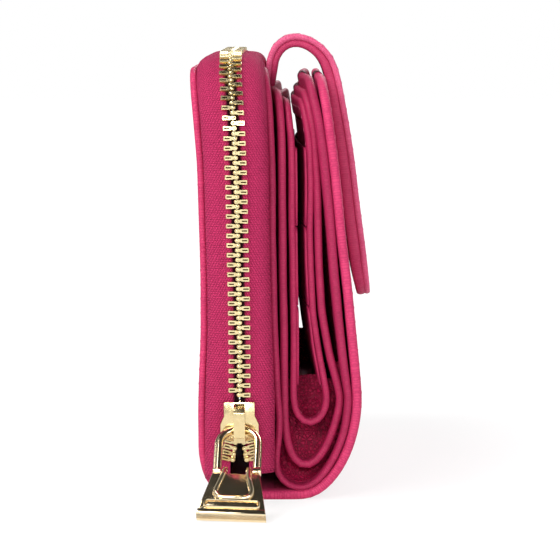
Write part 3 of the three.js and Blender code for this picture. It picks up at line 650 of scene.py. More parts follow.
def folded(name, left_node, fold_node, right_node, finishes, hem_gain, phase, left_other=None, wobble=0.06):
    left, left_size = standing(left_node, left_other)
    right, right_size = standing(right_node)
    middle = bend(fold_node)
    side, other = strip_sides(fold_node)
    fold_size = float(np.median(np.hypot(*(side - other).T)))
    if left_other:
        left = np.vstack([left[0] + [0, TOP_HEM], left])
    line = softened(np.vstack([left, middle[1:-1], right[::-1]]))
    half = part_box(left_node)[1].y / MM
    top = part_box(left_node)[1].z / MM
    corner = half - max(abs(p[1]) for p in points_of(left_node) if top - p[2] < 0.01)
    sheet = Sheet(line, half, (corner, corner), wobble, phase, LEAF_BOW)
    thick = (left_size, left_size, fold_size, right_size, right_size)
    edge = tuple(size + hem_gain for size in thick)
    print(name, round(sheet.length, 1), "mm along,", round(2 * half, 1), "mm wide")
    return sheet, leather_sheet(name, sheet, thick, edge, finishes)


# %% The three folded sheets
shell_sheet, inner_shell = folded(
    "inner_shell", "coin_inner_cover", "inner_shell_fold", "right_inner_cover",
    [leaf_leather, deep_leather], 0.45, 2.1, "coin_inner_lining")
divider_sheet, note_divider = folded(
    "note_divider", "note_divider_left", "note_divider_fold", "note_divider_right",
    [turned_leather, deep_leather], 0.8, 3.4)
panel_sheet, card_panel = folded(
    "card_panel", "card_panel_left", "card_panel_fold", "card_panel_right",
    [turned_leather, leaf_leather], 0.75, 5.2)

# %% [markdown]
# ## Cutting the folded sheets at their folds
# When the wallet is laid open, the left leaves go with the coin case and the right ones with the card
# side; the folds are baked in place and go with neither. One bend along a straight line can't tell a
# tall left leaf from a right one, so each folded sheet is cut across where its fold ends and the three
# parts butt.

# %% Coin side, turn and card side
FOLD_TOP = 22.0  # where the folds end and the leaves stand straight


def turn_span(sheet):
    """Where a folded sheet's turn starts and ends, along it."""
    low_places = sheet.run[sheet.line[:, 1] < FOLD_TOP]
    return low_places[0], low_places[-1]


def three_parts(piece, part_of_face):
    """The piece as its coin side (0), its turn (1) and its card side (2)."""
    parts = []
    for number, name in enumerate(("coin_side", "turn", "card_side")):
        mesh = piece.data.copy()
        shell = bmesh.new()
        shell.from_mesh(mesh)
        beyond = [face for face, part in zip(shell.faces, part_of_face) if part != number]
        bmesh.ops.delete(shell, geom=beyond, context="FACES")
        shell.to_mesh(mesh)
        shell.free()
        made = bpy.data.objects.new(f"{piece.name}_{name}", mesh)
        bpy.context.scene.collection.objects.link(made)
        parts.append(made)
    bpy.data.objects.remove(piece)
    return parts


def cut_sheet(piece, sheet):
    """A folded sheet cut across at both ends of its turn."""
    pattern = piece.data.uv_layers["pattern"].data
    places = [np.mean([pattern[i].uv.x for i in face.loop_indices]) for face in piece.data.polygons]
    return three_parts(piece, np.digitize(places, turn_span(sheet)))


# %% The cut sheets and the card panel's stitches
inner_shell = cut_sheet(inner_shell, shell_sheet)
note_divider = cut_sheet(note_divider, divider_sheet)
card_panel = cut_sheet(card_panel, panel_sheet)
turn_start, turn_end = turn_span(panel_sheet)
PANEL_SKIN = 0.7  # the hem's skin, off the panel's middle
PANEL_STITCH_INSET = 1.9
panel_stitches = []
for part_name, kept in (("coin_side", lambda s, y: s < turn_start),
                        ("turn", lambda s, y: turn_start <= s <= turn_end),
                        ("card_side", lambda s, y: s > turn_end)):
    panel_stitches.append(stitching(
        f"panel_stitching_{part_name}", panel_sheet, PANEL_SKIN, PANEL_STITCH_INSET, kept, thread))

# %% Card slots
def card_slots():
    """Short sheets stacked up both card panels."""
    made = []
    for side in ("left", "right"):
        for k in (1, 2, 3):
            node = f"card_slot_{side}_{k}"
            line, thick = standing(node)
            low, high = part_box(node)
            slot = Sheet(softened(line), high.y / MM, (2.0, 0.0), 0.03, k + len(side), LEAF_BOW)
            piece = leather_sheet(
                f"slot_{side}_{k}", slot, thick, thick, [turned_leather], hem=0, spacing=1.2)
            body = "coin_half" if side == "left" else "card_half"
            made.append((piece, body, node))
    return made


slots = card_slots()
print("card slots", len(slots))

# %% [markdown]
# ## Webs in the folds
# Where one leaf's fold sits in another's, a soft web of pebbled leather is gathered between them, so
# that coins and receipts don't slide out of the ends. A cloth simulation could gather it, but both
# its edges are sewn down, so a dished strip between two measured lines, with small puckers, has the
# same shape at once. It is set back, so that the rims of the folds stand clear of it.

# %% Webs
def rising(sheet, lift, top, whole=True):
    """A folded sheet's skin below a height, from its left side to its right, or both halves of it."""
    line = sheet.line + sheet.normal * lift
    line = line[line[:, 1] < top]
    if whole:
        return resample(line, 56)
    lowest = int(np.argmin(line[:, 1]))
    return resample(line[lowest::-1], 30), resample(line[lowest:], 30)


def fold_web(name, first, second, half, setback, dish):
    """A dished strip at each end, stretched between two lines of the fold."""
    shares = np.linspace(0, 1, 9)
    count, columns = len(first), len(shares)
    points, faces = [], []
    for end in (-1, 1):
        base = len(points)
        for skin in (0, 1):
            for k in range(count):
                gap = float(np.hypot(*(second[k] - first[k])))
                for u in shares:
                    x, z = first[k] * (1 - u) + second[k] * u
                    pucker = 0.25 * sin(k * 0.9 + 5 * u) + 0.2 * sin(k * 2.1 - 3 * u)
                    back = setback + dish * sin(pi * u) ** 0.8 * min(1, gap / 4) + pucker + 0.7 * skin
                    points.append((x, end * (half - back), z))
        size = count * columns
        for k in range(count - 1):
            for m in range(columns - 1):
                a = base + k * columns + m
                faces.append((a, a + 1, a + columns + 1, a + columns))
                faces.append((a + size, a + size + columns, a + size + columns + 1, a + size + 1))
        rim = [k * columns for k in range(count)]
        rim += [(count - 1) * columns + m for m in range(1, columns)]
        rim += [k * columns + columns - 1 for k in range(count - 2, -1, -1)]
        rim += list(range(columns - 2, 0, -1))
        for a, b in zip(rim, rim[1:] + rim[:1]):
            faces.append((base + a, base + b, base + size + b, base + size + a))
    return new_object(name, points, faces, [web_leather])


# %% Webs cut like the sheets beside them
FOLD_MIDDLE = 8.9  # across the thickness, where the wallet's own hinge is
WEB_TURN_TOP = 20.0


def cut_web(piece):
    """A web cut at the top of the turn, and above it between its two sides."""
    centres = [face.center / MM for face in piece.data.polygons]
    return three_parts(piece, [1 if c.z < WEB_TURN_TOP else 0 if c.x < FOLD_MIDDLE else 2 for c in centres])


note_web = fold_web("note_web", rising(shell_sheet, 0.45, 30), rising(divider_sheet, -0.45, 30),
                    shell_sheet.half, 3.0, 3.0)
card_web = fold_web("card_web", rising(divider_sheet, 0.45, 26), rising(panel_sheet, -0.35, 26),
                    divider_sheet.half, 3.5, 2.0)
panel_web = fold_web("panel_web", *rising(panel_sheet, 0.4, 27, False), panel_sheet.half, 4.0, 2.0)
note_web, card_web, panel_web = cut_web(note_web), cut_web(card_web), cut_web(panel_web)
print("web parts", [part.name for part in note_web + card_web + panel_web])

# %% [markdown]
# ## The zip's run
# The zip climbs the near end, turns over the top and goes down the far end. A distance along it is
# counted from the near shoulder. A curve modifier could carry the parts round the corners, but it
# would bend the stiff teeth as well. So the tape and the teeth are placed by one function, and each
# tooth keeps its shape.

# %% Where the zip runs
tape_rows = {}
for node, pick in (("zip_tape_left", max), ("zip_tape_right", min)):
    for x, _, z in points_of(node):
        row = tape_rows.setdefault(round(z, 1), {})
        row[node] = pick(row.get(node, x), x)
chain_rows = sorted((z, sum(row.values()) / 2) for z, row in tape_rows.items() if len(row) == 2)
chain_heights, chain_places = np.array(chain_rows).T
tape_low_node, tape_high_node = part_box("zip_tape_right")
tape_thick = 0.8
dome = (tape_high_node.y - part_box("left_cover")[1].y) / MM - tape_thick / 2
shoulder = cover_top - cover_corner
core = cover_half - cover_corner
corner_run = (cover_corner + dome) * pi / 2
whole_run = 2 * corner_run + 2 * core
print("zip dome", round(dome, 2), "chain places", np.round(chain_places[:3], 2))


# %% Places on the zip
def chain_x(z):
    return float(np.interp(z, chain_heights, chain_places))


def zip_turn(distance):
    """The centre that the run turns about, and the direction outwards, at a distance along it."""
    if distance <= 0:
        return -core, shoulder + distance, pi
    if distance < corner_run:
        return -core, shoulder, pi - distance / (cover_corner + dome)
    if distance <= corner_run + 2 * core:
        return distance - corner_run - core, shoulder, pi / 2
    if distance < whole_run:
        return core, shoulder, pi / 2 - (distance - corner_run - 2 * core) / (cover_corner + dome)
    return core, shoulder + whole_run - distance, 0.0


def zip_point(distance, out, across):
    """A point on the zip: out past the covers' edge, and across from the chain's middle."""
    y, z, angle = zip_turn(distance)
    reach = cover_corner + out
    height = z + sin(angle) * reach
    return np.array([chain_x(height) + across, y + cos(angle) * reach, height])


def case_half(height, side):
    """From the chain's middle to the coin case's side, at a height."""
    node = "left_cover_lining" if side < 0 else "coin_inner_lining"
    heights, left, right = leaf_faces(node)
    wall = np.interp(height, heights, right if side < 0 else left)
    return abs(wall - chain_x(height))


# %% [markdown]
# ## Zip tape
# The tape is fullest beside the teeth and falls steeply to the covers, where it turns in and is sewn
# between leather and lining. Near the chain it thickens over a cord that the teeth are clamped on. One
# extruded profile would be the same all along; here each step asks for its own width and opening.

# %% Tape
TAPE_INNER = 0.12  # from the chain's middle to the tape's edge
CORD = 2.0  # to the sewn-in cord
FLAT = 2.8  # to where the tape starts to fall away
CORD_RISE = 0.3
TAPE_SKIN = 0.35  # half the tape's thickness
OPENING = 1.9  # how far the tape's edge draws back below the slider
SEAM_DEPTHS = (-1.2, -3.0)  # inside the covers' edge, where the tape is sewn in
slider_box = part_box("slider_body")
parted = slider_box[0].z / MM


def tape(name, side, low):
    from_, to = low - shoulder, whole_run + shoulder - low
    distances = np.concatenate([np.arange(from_, to, 1.6), [to]])
    near, far = np.linspace(0, 0.24, 7)[:-1], np.sin(np.linspace(0, pi / 2, 18))
    shares = np.concatenate([near, 0.24 + 0.76 * far])
    wall = {round(z): case_half(z, side) for z in range(0, int(cover_top + dome) + 3)}
    points, flat, faces = [], [], []
    columns = len(shares) + 2
    for distance in distances:
        height = zip_point(distance, dome, 0)[2]
        width = wall[round(min(height, cover_top))] + 0.15
        opened = OPENING * min(1, max(0, (parted + 1 - height) / 5))
        inner_edge = TAPE_INNER + opened
        outer, inner = [], []
        for share in shares:
            across = inner_edge + (width - inner_edge) * share
            fall = max(0, (across - FLAT) / (width - FLAT))
            lift = dome * max(0, 1 - min(fall, 1) ** 2.8) ** 0.4
            under_teeth = CORD_RISE * max(0, 1 - ((across - CORD) / 0.75) ** 2)
            sag = 0.1 * sin(distance * 0.21 + side) * sin(pi * share)
            outer.append((lift + under_teeth + sag + TAPE_SKIN, across))
            inner.append((lift - under_teeth - TAPE_SKIN, across))
        for lift in SEAM_DEPTHS:
            outer.append((lift, width))
            inner.append((lift, width - 0.6))
        for lift, across in outer + inner[::-1]:
            points.append(zip_point(distance, lift, side * across))
            flat.append((across * 1.35, distance))
    ring = 2 * columns
    for i in range(len(distances) - 1):
        for j in range(ring):
            a, b = i * ring + j, i * ring + (j + 1) % ring
            faces.append((a, b, b + ring, a + ring))
    faces.append(tuple(range(ring)))
    faces.append(tuple(range((len(distances) - 1) * ring, len(distances) * ring)))
    return new_object(name, points, faces, [tape_cloth], flat=flat)


tape_low = tape_low_node.z / MM
tape_left = tape("tape_left", -1, tape_low - 4.5)
tape_right = tape("tape_right", 1, tape_low - 3)
print("tape runs", round(whole_run, 1), "mm from shoulder to shoulder")

# %% [markdown]
# ## Teeth
# A metal tooth is stamped: legs that clamp the tape's cord, a shallow pit pressed in its outer half,
# and a rounded head with a nib that sits in the next tooth's hollow. Plain blocks would catch the
# light all alike, so one tooth is modelled with those features and repeated along the run. The left
# row is half a pitch behind the right.

# %% One tooth
PITCH = 2.08
TOOTH_END = 2.4  # from the chain's middle to the legs' ends
TOOTH_HEAD = 0.62  # how far the head crosses the middle
TOOTH_OUT = 1.3  # how far a tooth stands out


def tooth_shape():
    """Points and faces of one tooth: x towards its own side, y out of the tape, z along the chain."""
    upper = [(TOOTH_END, 0.0), (TOOTH_END, 0.42), (TOOTH_END - 0.1, 0.52), (0.66, 0.52), (0.56, 0.42),
             (0.4, 0.36), (0.15, 0.44), (-0.15, 0.5), (-0.45, 0.4), (-TOOTH_HEAD, 0.14)]
    outline = upper + [(x, -z) for x, z in upper[::-1] if z]
    pit_middle = 1.55

    def level(y, inset, pit=None):
        ring = []
        for x, z in outline:
            if pit:
                turn = atan2(z, x - pit_middle)
                ring.append((pit_middle + pit[0] * cos(turn), y, pit[1] * sin(turn)))
            else:
                reach = max(hypot(x - 0.9, z), 0.01)
                ring.append((x - inset * (x - 0.9) / reach, y, z - inset * z / reach))
        return ring

    rings = [level(-0.95, 0.12), level(-0.8, 0), level(TOOTH_OUT - 0.14, 0), level(TOOTH_OUT, 0.1),
             level(TOOTH_OUT, 0, (0.6, 0.28)), level(TOOTH_OUT - 0.1, 0, (0.55, 0.24)),
             level(TOOTH_OUT - 0.5, 0, (0.5, 0.2))]
    count = len(outline)
    points = [p for ring in rings for p in ring]
    faces = [tuple(range(count))]
    for k in range(len(rings) - 1):
        for m in range(count):
            n = (m + 1) % count
            faces.append((k * count + m, k * count + n, (k + 1) * count + n, (k + 1) * count + m))
    faces.append(tuple(range(6 * count, 7 * count)))
    # the pit's faces take the second finish, the dark brown of the painted shade
    pit = set(range(1 + 4 * count, len(faces)))
    base = len(points)
    sides, levels = 10, 3
    for level_index in range(levels):
        tilt = level_index * pi / 2 / levels
        for m in range(sides):
            turn = tau * m / sides
            radius = 0.34 * cos(tilt)
            height = TOOTH_OUT - 0.05 + 0.26 * sin(tilt)
            points.append((-0.1 + radius * cos(turn), height, radius * sin(turn)))
    points.append((-0.1, TOOTH_OUT + 0.21, 0))
    for k in range(levels - 1):
        for m in range(sides):
            a, b = base + k * sides + m, base + k * sides + (m + 1) % sides
            faces.append((a, b, b + sides, a + sides))
    top = base + (levels - 1) * sides
    faces += [(top + m, top + (m + 1) % sides, len(points) - 1) for m in range(sides)]
    faces.append(tuple(range(base, base + sides)))
    return np.array(points), faces, [int(i in pit) for i in range(len(faces))]


# %% A row of teeth
def teeth(name, side, places, spread=lambda distance: (0.0, 0.0)):
    """Teeth at distances along the zip. spread gives how far out and how much turned a tooth is."""
    shape, shape_faces, shape_finish = tooth_shape()
    points, faces = [], []
    for distance in places:
        away, turned = spread(distance)
        _, _, angle = zip_turn(distance)
        outwards = np.array([0, cos(angle), sin(angle)])
        along = np.array([0, sin(angle), -cos(angle)])
        across = np.array([side, 0, 0]) * cos(turned) + along * sin(turned)
        length = along * cos(turned) - np.array([side, 0, 0]) * sin(turned)
        middle = zip_point(distance, dome, side * away)
        base = len(points)
        points += [middle + across * x + outwards * y + length * z for x, y, z in shape]
        faces += [tuple(base + i for i in face) for face in shape_faces]
    made = new_object(name, points, faces, [tooth_gold, tooth_pit_painted_shade], shape_finish * len(places))
    made.data.set_sharp_from_angle(angle=radians(32))
    return made


# %% Closed and open teeth
STOP_GAP = 0.3  # between the chain and the slider, and the chain and its last stop
first = slider_box[1].z / MM + STOP_GAP - shoulder
last = whole_run + shoulder - (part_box("zip_bottom_stop")[1].z / MM + STOP_GAP) - 0.4
left_places = np.arange(first + PITCH, last, PITCH)
right_places = np.arange(first + PITCH / 2, last, PITCH)
teeth_left = teeth("teeth_left", -1, left_places)
teeth_right = teeth("teeth_right", 1, right_places)
open_spread = lambda distance: (0.9 + 0.35 * (parted - shoulder - distance) / PITCH, 0.25)
open_places = [parted - shoulder - PITCH * k for k in (0.15, 0.75, 1.35, 1.95)]
open_left = teeth("open_teeth_left", -1, open_places, open_spread)
open_right = teeth("open_teeth_right", 1, open_places, open_spread)
print("teeth", len(left_places), "and", len(right_places))

# %% [markdown]
# ## Slider and stops
# These come from the frame as they are, since they are real construction. They could be drawn again
# with more faces, but castings have no sharp edges, and a small bevel and the plating are enough.

# %% Bevelled castings
def dressed(node, finish, bevel=0.16, on_angle=28):
    """A frame node with eased edges and a finish."""
    piece = frame["nodes"][node]
    piece.data.materials.clear()
    piece.data.materials.append(finish)
    weld = piece.modifiers.new("weld", "WELD")
    weld.merge_threshold = 0.01 * MM
    ease = piece.modifiers.new("ease", "BEVEL")
    ease.width = bevel * MM
    ease.segments = 3
    ease.limit_method = "ANGLE"
    ease.angle_limit = radians(on_angle)
    ease.harden_normals = False
    piece.data.polygons.foreach_set("use_smooth", [True] * len(piece.data.polygons))
    return piece


dressed("slider_body", brushed_gold)
dressed("slider_crown", brushed_gold, 0.22)
for node in ("zip_top_stop_left", "zip_top_stop_right"):
    dressed(node, tooth_gold, 0.12)
dressed("zip_bottom_stop", tooth_gold, 0.2)
dressed("snap_stud", brushed_gold, 0.1)
dressed("snap_socket", brushed_gold, 0.12)

# %% [markdown]
# ## The pull
# A stirrup hangs in the slider's crown and carries a heavy tag. Both are drawn lying flat (x across,
# y back to the crown, z off the face) and then laid on the joints' own axes. They could be drawn in
# place, but then they would drift from where the frame turns them if the pull were moved.

# %% The pull's own frame
joints = {joint["name"]: joint for joint in frame["joints"]}
swing = Vector(joints["pull_swing"]["pos_m"]) / MM
pivot = Vector(joints["tag_swing"]["pos_m"]) / MM
pull_x = Vector(joints["pull_swing"]["axis"]).normalized()
pull_y = (swing - pivot).normalized()
pull_z = pull_x.cross(pull_y)
reach = (swing - pivot).length
print("stirrup reach", round(reach, 2))


# %% Shapes that castings are made of
def on_pull(origin, points):
    """Places on the pull, written flat, laid where the pull hangs."""
    return [origin + pull_x * x + pull_y * y + pull_z * z for x, y, z in points]


def swept(path, profile, closed=False):
    """Points and faces of a profile swept along a flat path; profile is (beside, above) pairs."""
    path = np.array(path, float)
    count, size = len(path), len(profile)
    points, faces = [], []
    for k in range(count):
        before = path[k - 1] if k or closed else path[k]
        after = path[(k + 1) % count] if k < count - 1 or closed else path[k]
        along = (after - before)[:2]
        along = along / np.hypot(*along)
        for beside, above in profile:
            x, y, z = path[k]
            points.append((x - along[1] * beside, y + along[0] * beside, z + above))
    for k in range(count if closed else count - 1):
        for m in range(size):
            n = (m + 1) % size
            base, onward = k * size, ((k + 1) % count) * size
            faces.append((base + m, base + n, onward + n, onward + m))
    if not closed:
        faces.append(tuple(range(size)))
        faces.append(tuple(range((count - 1) * size, count * size)))
    return points, faces


def joined(*shapes):
    """Several shapes as one list of points and one of faces."""
    points, faces = [], []
    for more_points, more_faces in shapes:
        faces += [tuple(len(points) + i for i in face) for face in more_faces]
        points += list(more_points)
    return points, faces


def lathe(radii, centre, sides=24):
    """A turned shape about the x axis through a centre: radii is (radius, place along) pairs."""
    points, faces = [], []
    for radius, along in radii:
        for m in range(sides):
            turn = tau * m / sides
            ring = (along, radius * cos(turn), radius * sin(turn))
            points.append(tuple(c + r for c, r in zip(centre, ring)))
    for k in range(len(radii) - 1):
        for m in range(sides):
            n = (m + 1) % sides
            faces.append((k * sides + m, k * sides + n, (k + 1) * sides + n, (k + 1) * sides + m))
    faces.append(tuple(range(sides)))
    faces.append(tuple(range((len(radii) - 1) * sides, len(radii) * sides)))
    return points, faces


# %% Stirrup
BAR = 1.75  # the stirrup's bar, seen from the front
BAR_THICK = 1.6
STIRRUP_WIDTH = 10.2
arm = (STIRRUP_WIDTH - BAR) / 2
turn_y = BAR / 2 - STIRRUP_WIDTH / 2


def stirrup():
    """The arch and its arms as one swept bar, with a boss at each end."""
    arch = [(arm * cos(a), turn_y + arm * sin(a), 0) for a in np.linspace(0, pi, 33)]
    down = [(-arm, y, 0) for y in np.linspace(turn_y, -reach - 0.55, 9)[1:]]
    path = [(arm, y, 0) for _, y, _ in down[::-1]] + arch + down
    w, t = BAR / 2, BAR_THICK / 2
    back = [(w, -t + 0.3), (w - 0.25, -t), (-w + 0.3, -t), (-w, -t + 0.35)]
    rim = [(-w, t - 0.75), (-w + 0.12, t - 0.52), (-w + 0.34, t - 0.45), (-w + 0.44, t - 0.5)]
    crown = [(-w + 0.52, t - 0.22), (-w + 0.75, t - 0.03), (0.1, t + 0.02), (w - 0.4, t - 0.02)]
    shoulder_edge = [(w - 0.12, t - 0.15), (w, t - 0.4)]
    boss_shape = [(0.3, -0.9), (0.98, -0.85), (0.98, 0.7), (0.85, 0.86), (0.3, 0.9)]
    boss = lambda side: lathe([(r, side * (arm + along)) for r, along in boss_shape], (0, -reach, 0))
    points, faces = joined(swept(path, back + rim + crown + shoulder_edge), boss(1), boss(-1))
    made = new_object("stirrup", on_pull(swing, points), faces, [polished_gold])
    made.data.set_sharp_from_angle(angle=radians(50))
    return made


# %% The tag's outline
TAG_SETBACK = 1.3  # from its swing axis to the tag's top edge
TAG_RUN = 11.4  # from its top edge to its base
TAG_TOP = 10.1
TAG_BASE = 14.6
TAG_THICK = 1.9


def tag_half(y):
    """Half the tag's width at a place along it: it widens towards its base."""
    share = (-TAG_SETBACK - y) / TAG_RUN
    return (TAG_TOP + (TAG_BASE - TAG_TOP) * share) / 2


# %% Plates, rims and ribs
def slab(outline, low, high, ease):
    """A flat plate with eased edges on both faces."""
    centre = np.mean(outline, axis=0)

    def ring(inset, z):
        made = []
        count = len(outline)
        for k in range(count):
            p, a, b = (np.array(outline[i % count], float) for i in (k, k - 1, k + 1))
            u, v = (p - a) / np.hypot(*(p - a)), (b - p) / np.hypot(*(b - p))
            normal_u, normal_v = np.array([-u[1], u[0]]), np.array([-v[1], v[0]])
            mitre = (normal_u + normal_v) / (1 + normal_u @ normal_v)
            if (centre - p) @ mitre < 0:
                mitre = -mitre
            made.append((*(p + mitre * inset), z))
        return made

    steps = [(1, 0), (0.4, 0.12), (0.12, 0.4), (0, 1)]
    rings = [ring(ease * i, low + ease * z) for i, z in steps]
    rings += [ring(ease * i, high - ease * z) for i, z in steps[::-1]]
    size = len(outline)
    points = [p for r in rings for p in r]
    faces = [tuple(range(size)), tuple(range(len(points) - size, len(points)))]
    for k in range(len(rings) - 1):
        for m in range(size):
            a, b = k * size + m, k * size + (m + 1) % size
            faces.append((a, b, b + size, a + size))
    return points, faces


def rounded_box_path(half_x, half_y, centre_y, radius, z, steps=6):
    """A closed path round a box with rounded corners."""
    path = []
    for k, (sx, sy) in enumerate(((1, 1), (-1, 1), (-1, -1), (1, -1))):
        for a in np.linspace(k * pi / 2, (k + 1) * pi / 2, steps):
            x = sx * (half_x - radius) + radius * cos(a)
            y = centre_y + sy * (half_y - radius) + radius * sin(a)
            path.append((x, y, z))
    return path


def half_round(width, height, steps=7):
    """The profile of a raised rib, its foot sunk into the face that it stands on."""
    arc = [(width / 2 * cos(a), height * sin(a)) for a in np.linspace(0, pi, steps)]
    return arc + [(-width / 2, -0.3), (width / 2, -0.3)]


# %% The tag
def tag():
    """The plate, its thick foot, the raised frame and bar, and the lugs that it hangs by."""
    face = TAG_THICK / 2
    high, low = -TAG_SETBACK, -TAG_SETBACK - TAG_RUN
    across = lambda y: [(-tag_half(y), y), (tag_half(y), y)]
    plate = slab(across(high)[:1] + across(low) + across(high)[1:], -face, face, 0.22)
    foot = slab(across(low) + across(low + 1.35)[::-1], -face - 0.55, face + 0.25, 0.24)
    inner_arm = arm - BAR / 2 - 0.3 - 0.55
    frame_low = low + 4.3
    corner = 1.7
    base_half = 3.75
    right = [(inner_arm, 0.35, face - 0.75), (inner_arm + 0.1, -0.9, face - 0.4),
             (inner_arm + 0.3, -2.4, face), (base_half, frame_low + corner + 0.6, face)]
    for a in np.linspace(0, pi / 2, 8):
        x = base_half - corner + corner * cos(a)
        right.append((x, frame_low + corner - corner * sin(a), face))
    path = right + [(-x, y, z) for x, y, z in right[::-1]]
    raised = swept(path, half_round(1.25, 0.85))
    bar_middle = low + 2.65
    bar_half = tag_half(bar_middle) - 1.15
    ring = swept(rounded_box_path(bar_half, 0.95, bar_middle, 0.6, face), half_round(0.62, 0.6, 6), True)
    box_edge = lambda x, half_x, y_low, y_high: [
        (x - half_x, y_low), (x + half_x, y_low), (x + half_x, y_high), (x - half_x, y_high)]
    inlay_edge = box_edge(0, bar_half - 0.4, bar_middle - 0.6, bar_middle + 0.6)
    inlay = slab(inlay_edge, face - 0.2, face + 0.2, 0.08)
    lug_shape = [(0.4, -0.55), (1.0, -0.5), (1.0, 0.5), (0.4, 0.55)]
    lug = lambda side: lathe([(r, side * (inner_arm + along)) for r, along in lug_shape], (0, 0, 0))
    neck = lambda side: slab(box_edge(side * inner_arm, 0.5, 0, high - 0.5), -0.8, 0.8, 0.1)
    points, faces = joined(plate, foot, raised, ring, inlay, lug(1), lug(-1), neck(1), neck(-1))
    made = new_object("tag", on_pull(pivot, points), faces, [polished_gold])
    made.data.set_sharp_from_angle(angle=radians(35))
    return made


# %% The pull as it hangs
TAG_TWIST = -3.2  # degrees: the tag's lugs are loose on their pins, and it hangs a little askew
stirrup_piece = stirrup()
askew = Matrix.Rotation(radians(TAG_TWIST), 3, pull_z)
pull_x, pull_y = askew @ pull_x, askew @ pull_y
tag_piece = tag()
print("tag", TAG_TOP, "to", TAG_BASE, "mm wide, hung", TAG_TWIST, "degrees askew")

# %% [markdown]
# ## The closure strap
# The strap rises from the coin case, arches over the top and lies along the right cover, where it is
# snapped. Its outer leather is turned over the edge, and the whole outer layer is painted a lighter pink
# than the inner one: a painted highlight for the light that the round edge catches along both sides.
# The inner leather is set in a little. Each layer could be drawn from its own solid, but both are
# laid off from the outer line alone, so that they never cross round the arch.

# %% Strap
root_sides = strip_sides("tab_root")
outer_sides = strip_sides("tab_leather")
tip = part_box("tab_leather")[0].z / MM - 1.6


def side_of(sides):
    """The outer side of a strap layer, from the root to the tip: it is the farther from the middle."""
    ordered = [side if side[0, 0] < side[-1, 0] else side[::-1] for side in sides]
    return max(ordered, key=lambda side: hypot(side[:, 0].mean() - 9, side[:, 1].mean() - 60))


ROOT_TUCK = 3.5  # how far the strap's root is sewn in below the leaves' top edges


def extended(line):
    """The line carried straight on down to the strap's tip, and back into the seam at its root."""
    step = line[-1] - line[-4]
    onward = line[-1] + step * ((tip - line[-1, 1]) / step[1])
    back = line[0] - line[3]
    tucked = line[0] + back * (ROOT_TUCK / hypot(*back))
    return np.vstack([tucked, line, onward])


outer_line = np.vstack([side_of(root_sides)[:-1], side_of(outer_sides)[1:]])
outside = resample(extended(softened(outer_line, 0.8, 12)), 160)
outside[:, 1] -= 0.4 * np.clip((outside[:, 1] - 82) / 16, 0, 1)  # the arch slackens a little in use
print("strap from", np.round(outside[0], 1), "to", np.round(outside[-1], 1))

# %% Strap layers
heading = np.gradient(outside, axis=0)
heading /= np.hypot(*heading.T)[:, None]
inward = np.column_stack([heading[:, 1], -heading[:, 0]])
along_strap = np.linspace(0, 1, 160)
depths = np.interp(along_strap, (0, 0.2, 0.45, 0.9, 1), (2.6, 3.0, 3.8, 3.9, 2.7))
strap_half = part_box("tab_leather")[1].y / MM
layer = lambda depth: softened(outside + inward * depth[:, None], 0.8, 8)
OUTER_THICK = 1.35
outer_strap = Sheet(layer(0 * depths + OUTER_THICK / 2), strap_half, (0, 10.0), 0.05, 0.9)
inner_strap = Sheet(layer((depths + OUTER_THICK) / 2 - 0.08), strap_half - 0.15, (0, 9.8), 0.05, 0.9)
# the outer layer, edge and all, wears the lighter pink of the painted highlight
outer_piece = leather_sheet("strap_outer", outer_strap, OUTER_THICK, OUTER_THICK,
                            [strap_painted_highlight, strap_painted_highlight], hem=0, spacing=1.2, columns=14, round_edge=0.45)
inner_thick = tuple(depths[::10] - OUTER_THICK + 0.2)
inner_piece = leather_sheet("strap_inner", inner_strap, inner_thick, inner_thick,
                            [strap_leather], hem=0, spacing=1.2, columns=14, round_edge=0.7)
strap_stitches = stitching("strap_stitching", outer_strap, OUTER_THICK / 2, 2.2, lambda s, y: s > 3, thread)

# %% [markdown]
# ## Joining looks to the frame
# Pieces on one side of a joint ride on the body that carries them. Leather that crosses a joint could
# be cut there, but it would gape as the joint turns, so it is not cut; here it is only baked in place
# and rides on no body. The points given are where its bend would start and where it would be complete.

# %% Baking the pieces that cross joints
def bends(piece, first_body, second_body, start, end):
    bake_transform(piece)


LEFT_HINGE = ((-13.6, 0, 16), (-13.6, 0, 4))
SPINE_BEND = ((-8, 0, 2), (17, 0, 14))
STRAP_BEND = ((1, 0, 96), (14, 0, 92))
LEAF_HALF = 0.4  # half a leaf's thickness
LEAF_SAG = 1.4  # the same and the leaf's sag
WEB_BENDS = ((note_web, 2.7, 14.1), (card_web, 5.1, 12.1), (panel_web, 5.8, 11.8))
for piece in (left_cover, left_stitches):
    bends(piece, "coin_cover", "coin_half", *LEFT_HINGE)
for piece in (right_cover, right_stitches):
    bends(piece, "coin_half", "card_half", *SPINE_BEND)
for parts, sheet in ((inner_shell, shell_sheet), (note_divider, divider_sheet), (card_panel, panel_sheet),
                     (panel_stitches, panel_sheet)):
    coin_part, turn_part, card_part = parts
    turn_from, turn_to = (float(np.interp(s, sheet.run, sheet.line[:, 0])) for s in turn_span(sheet))
    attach(coin_part, "coin_half")
    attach(card_part, "card_half")
    bends(turn_part, "coin_half", "card_half", (turn_from + LEAF_HALF, 0, 0), (turn_to - LEAF_SAG, 0, 0))
for parts, turn_from, turn_to in WEB_BENDS:
    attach(parts[0], "coin_half")
    bends(parts[1], "coin_half", "card_half", (turn_from, 0, 0), (turn_to, 0, 0))
    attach(parts[2], "card_half")
for piece in (outer_piece, inner_piece, strap_stitches):
    bends(piece, "coin_half", "closure_tab", *STRAP_BEND)
# %% Riding
for piece, body, node in slots:
    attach(piece, body)
    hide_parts(node)
for piece, body in ((tape_left, "coin_cover"), (tape_right, "coin_half"), (teeth_left, "coin_cover"),
                    (teeth_right, "coin_half"), (open_left, "coin_cover"), (open_right, "coin_half"),
                    (stirrup_piece, "pull_bail"), (tag_piece, "pull_tag")):
    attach(piece, body)

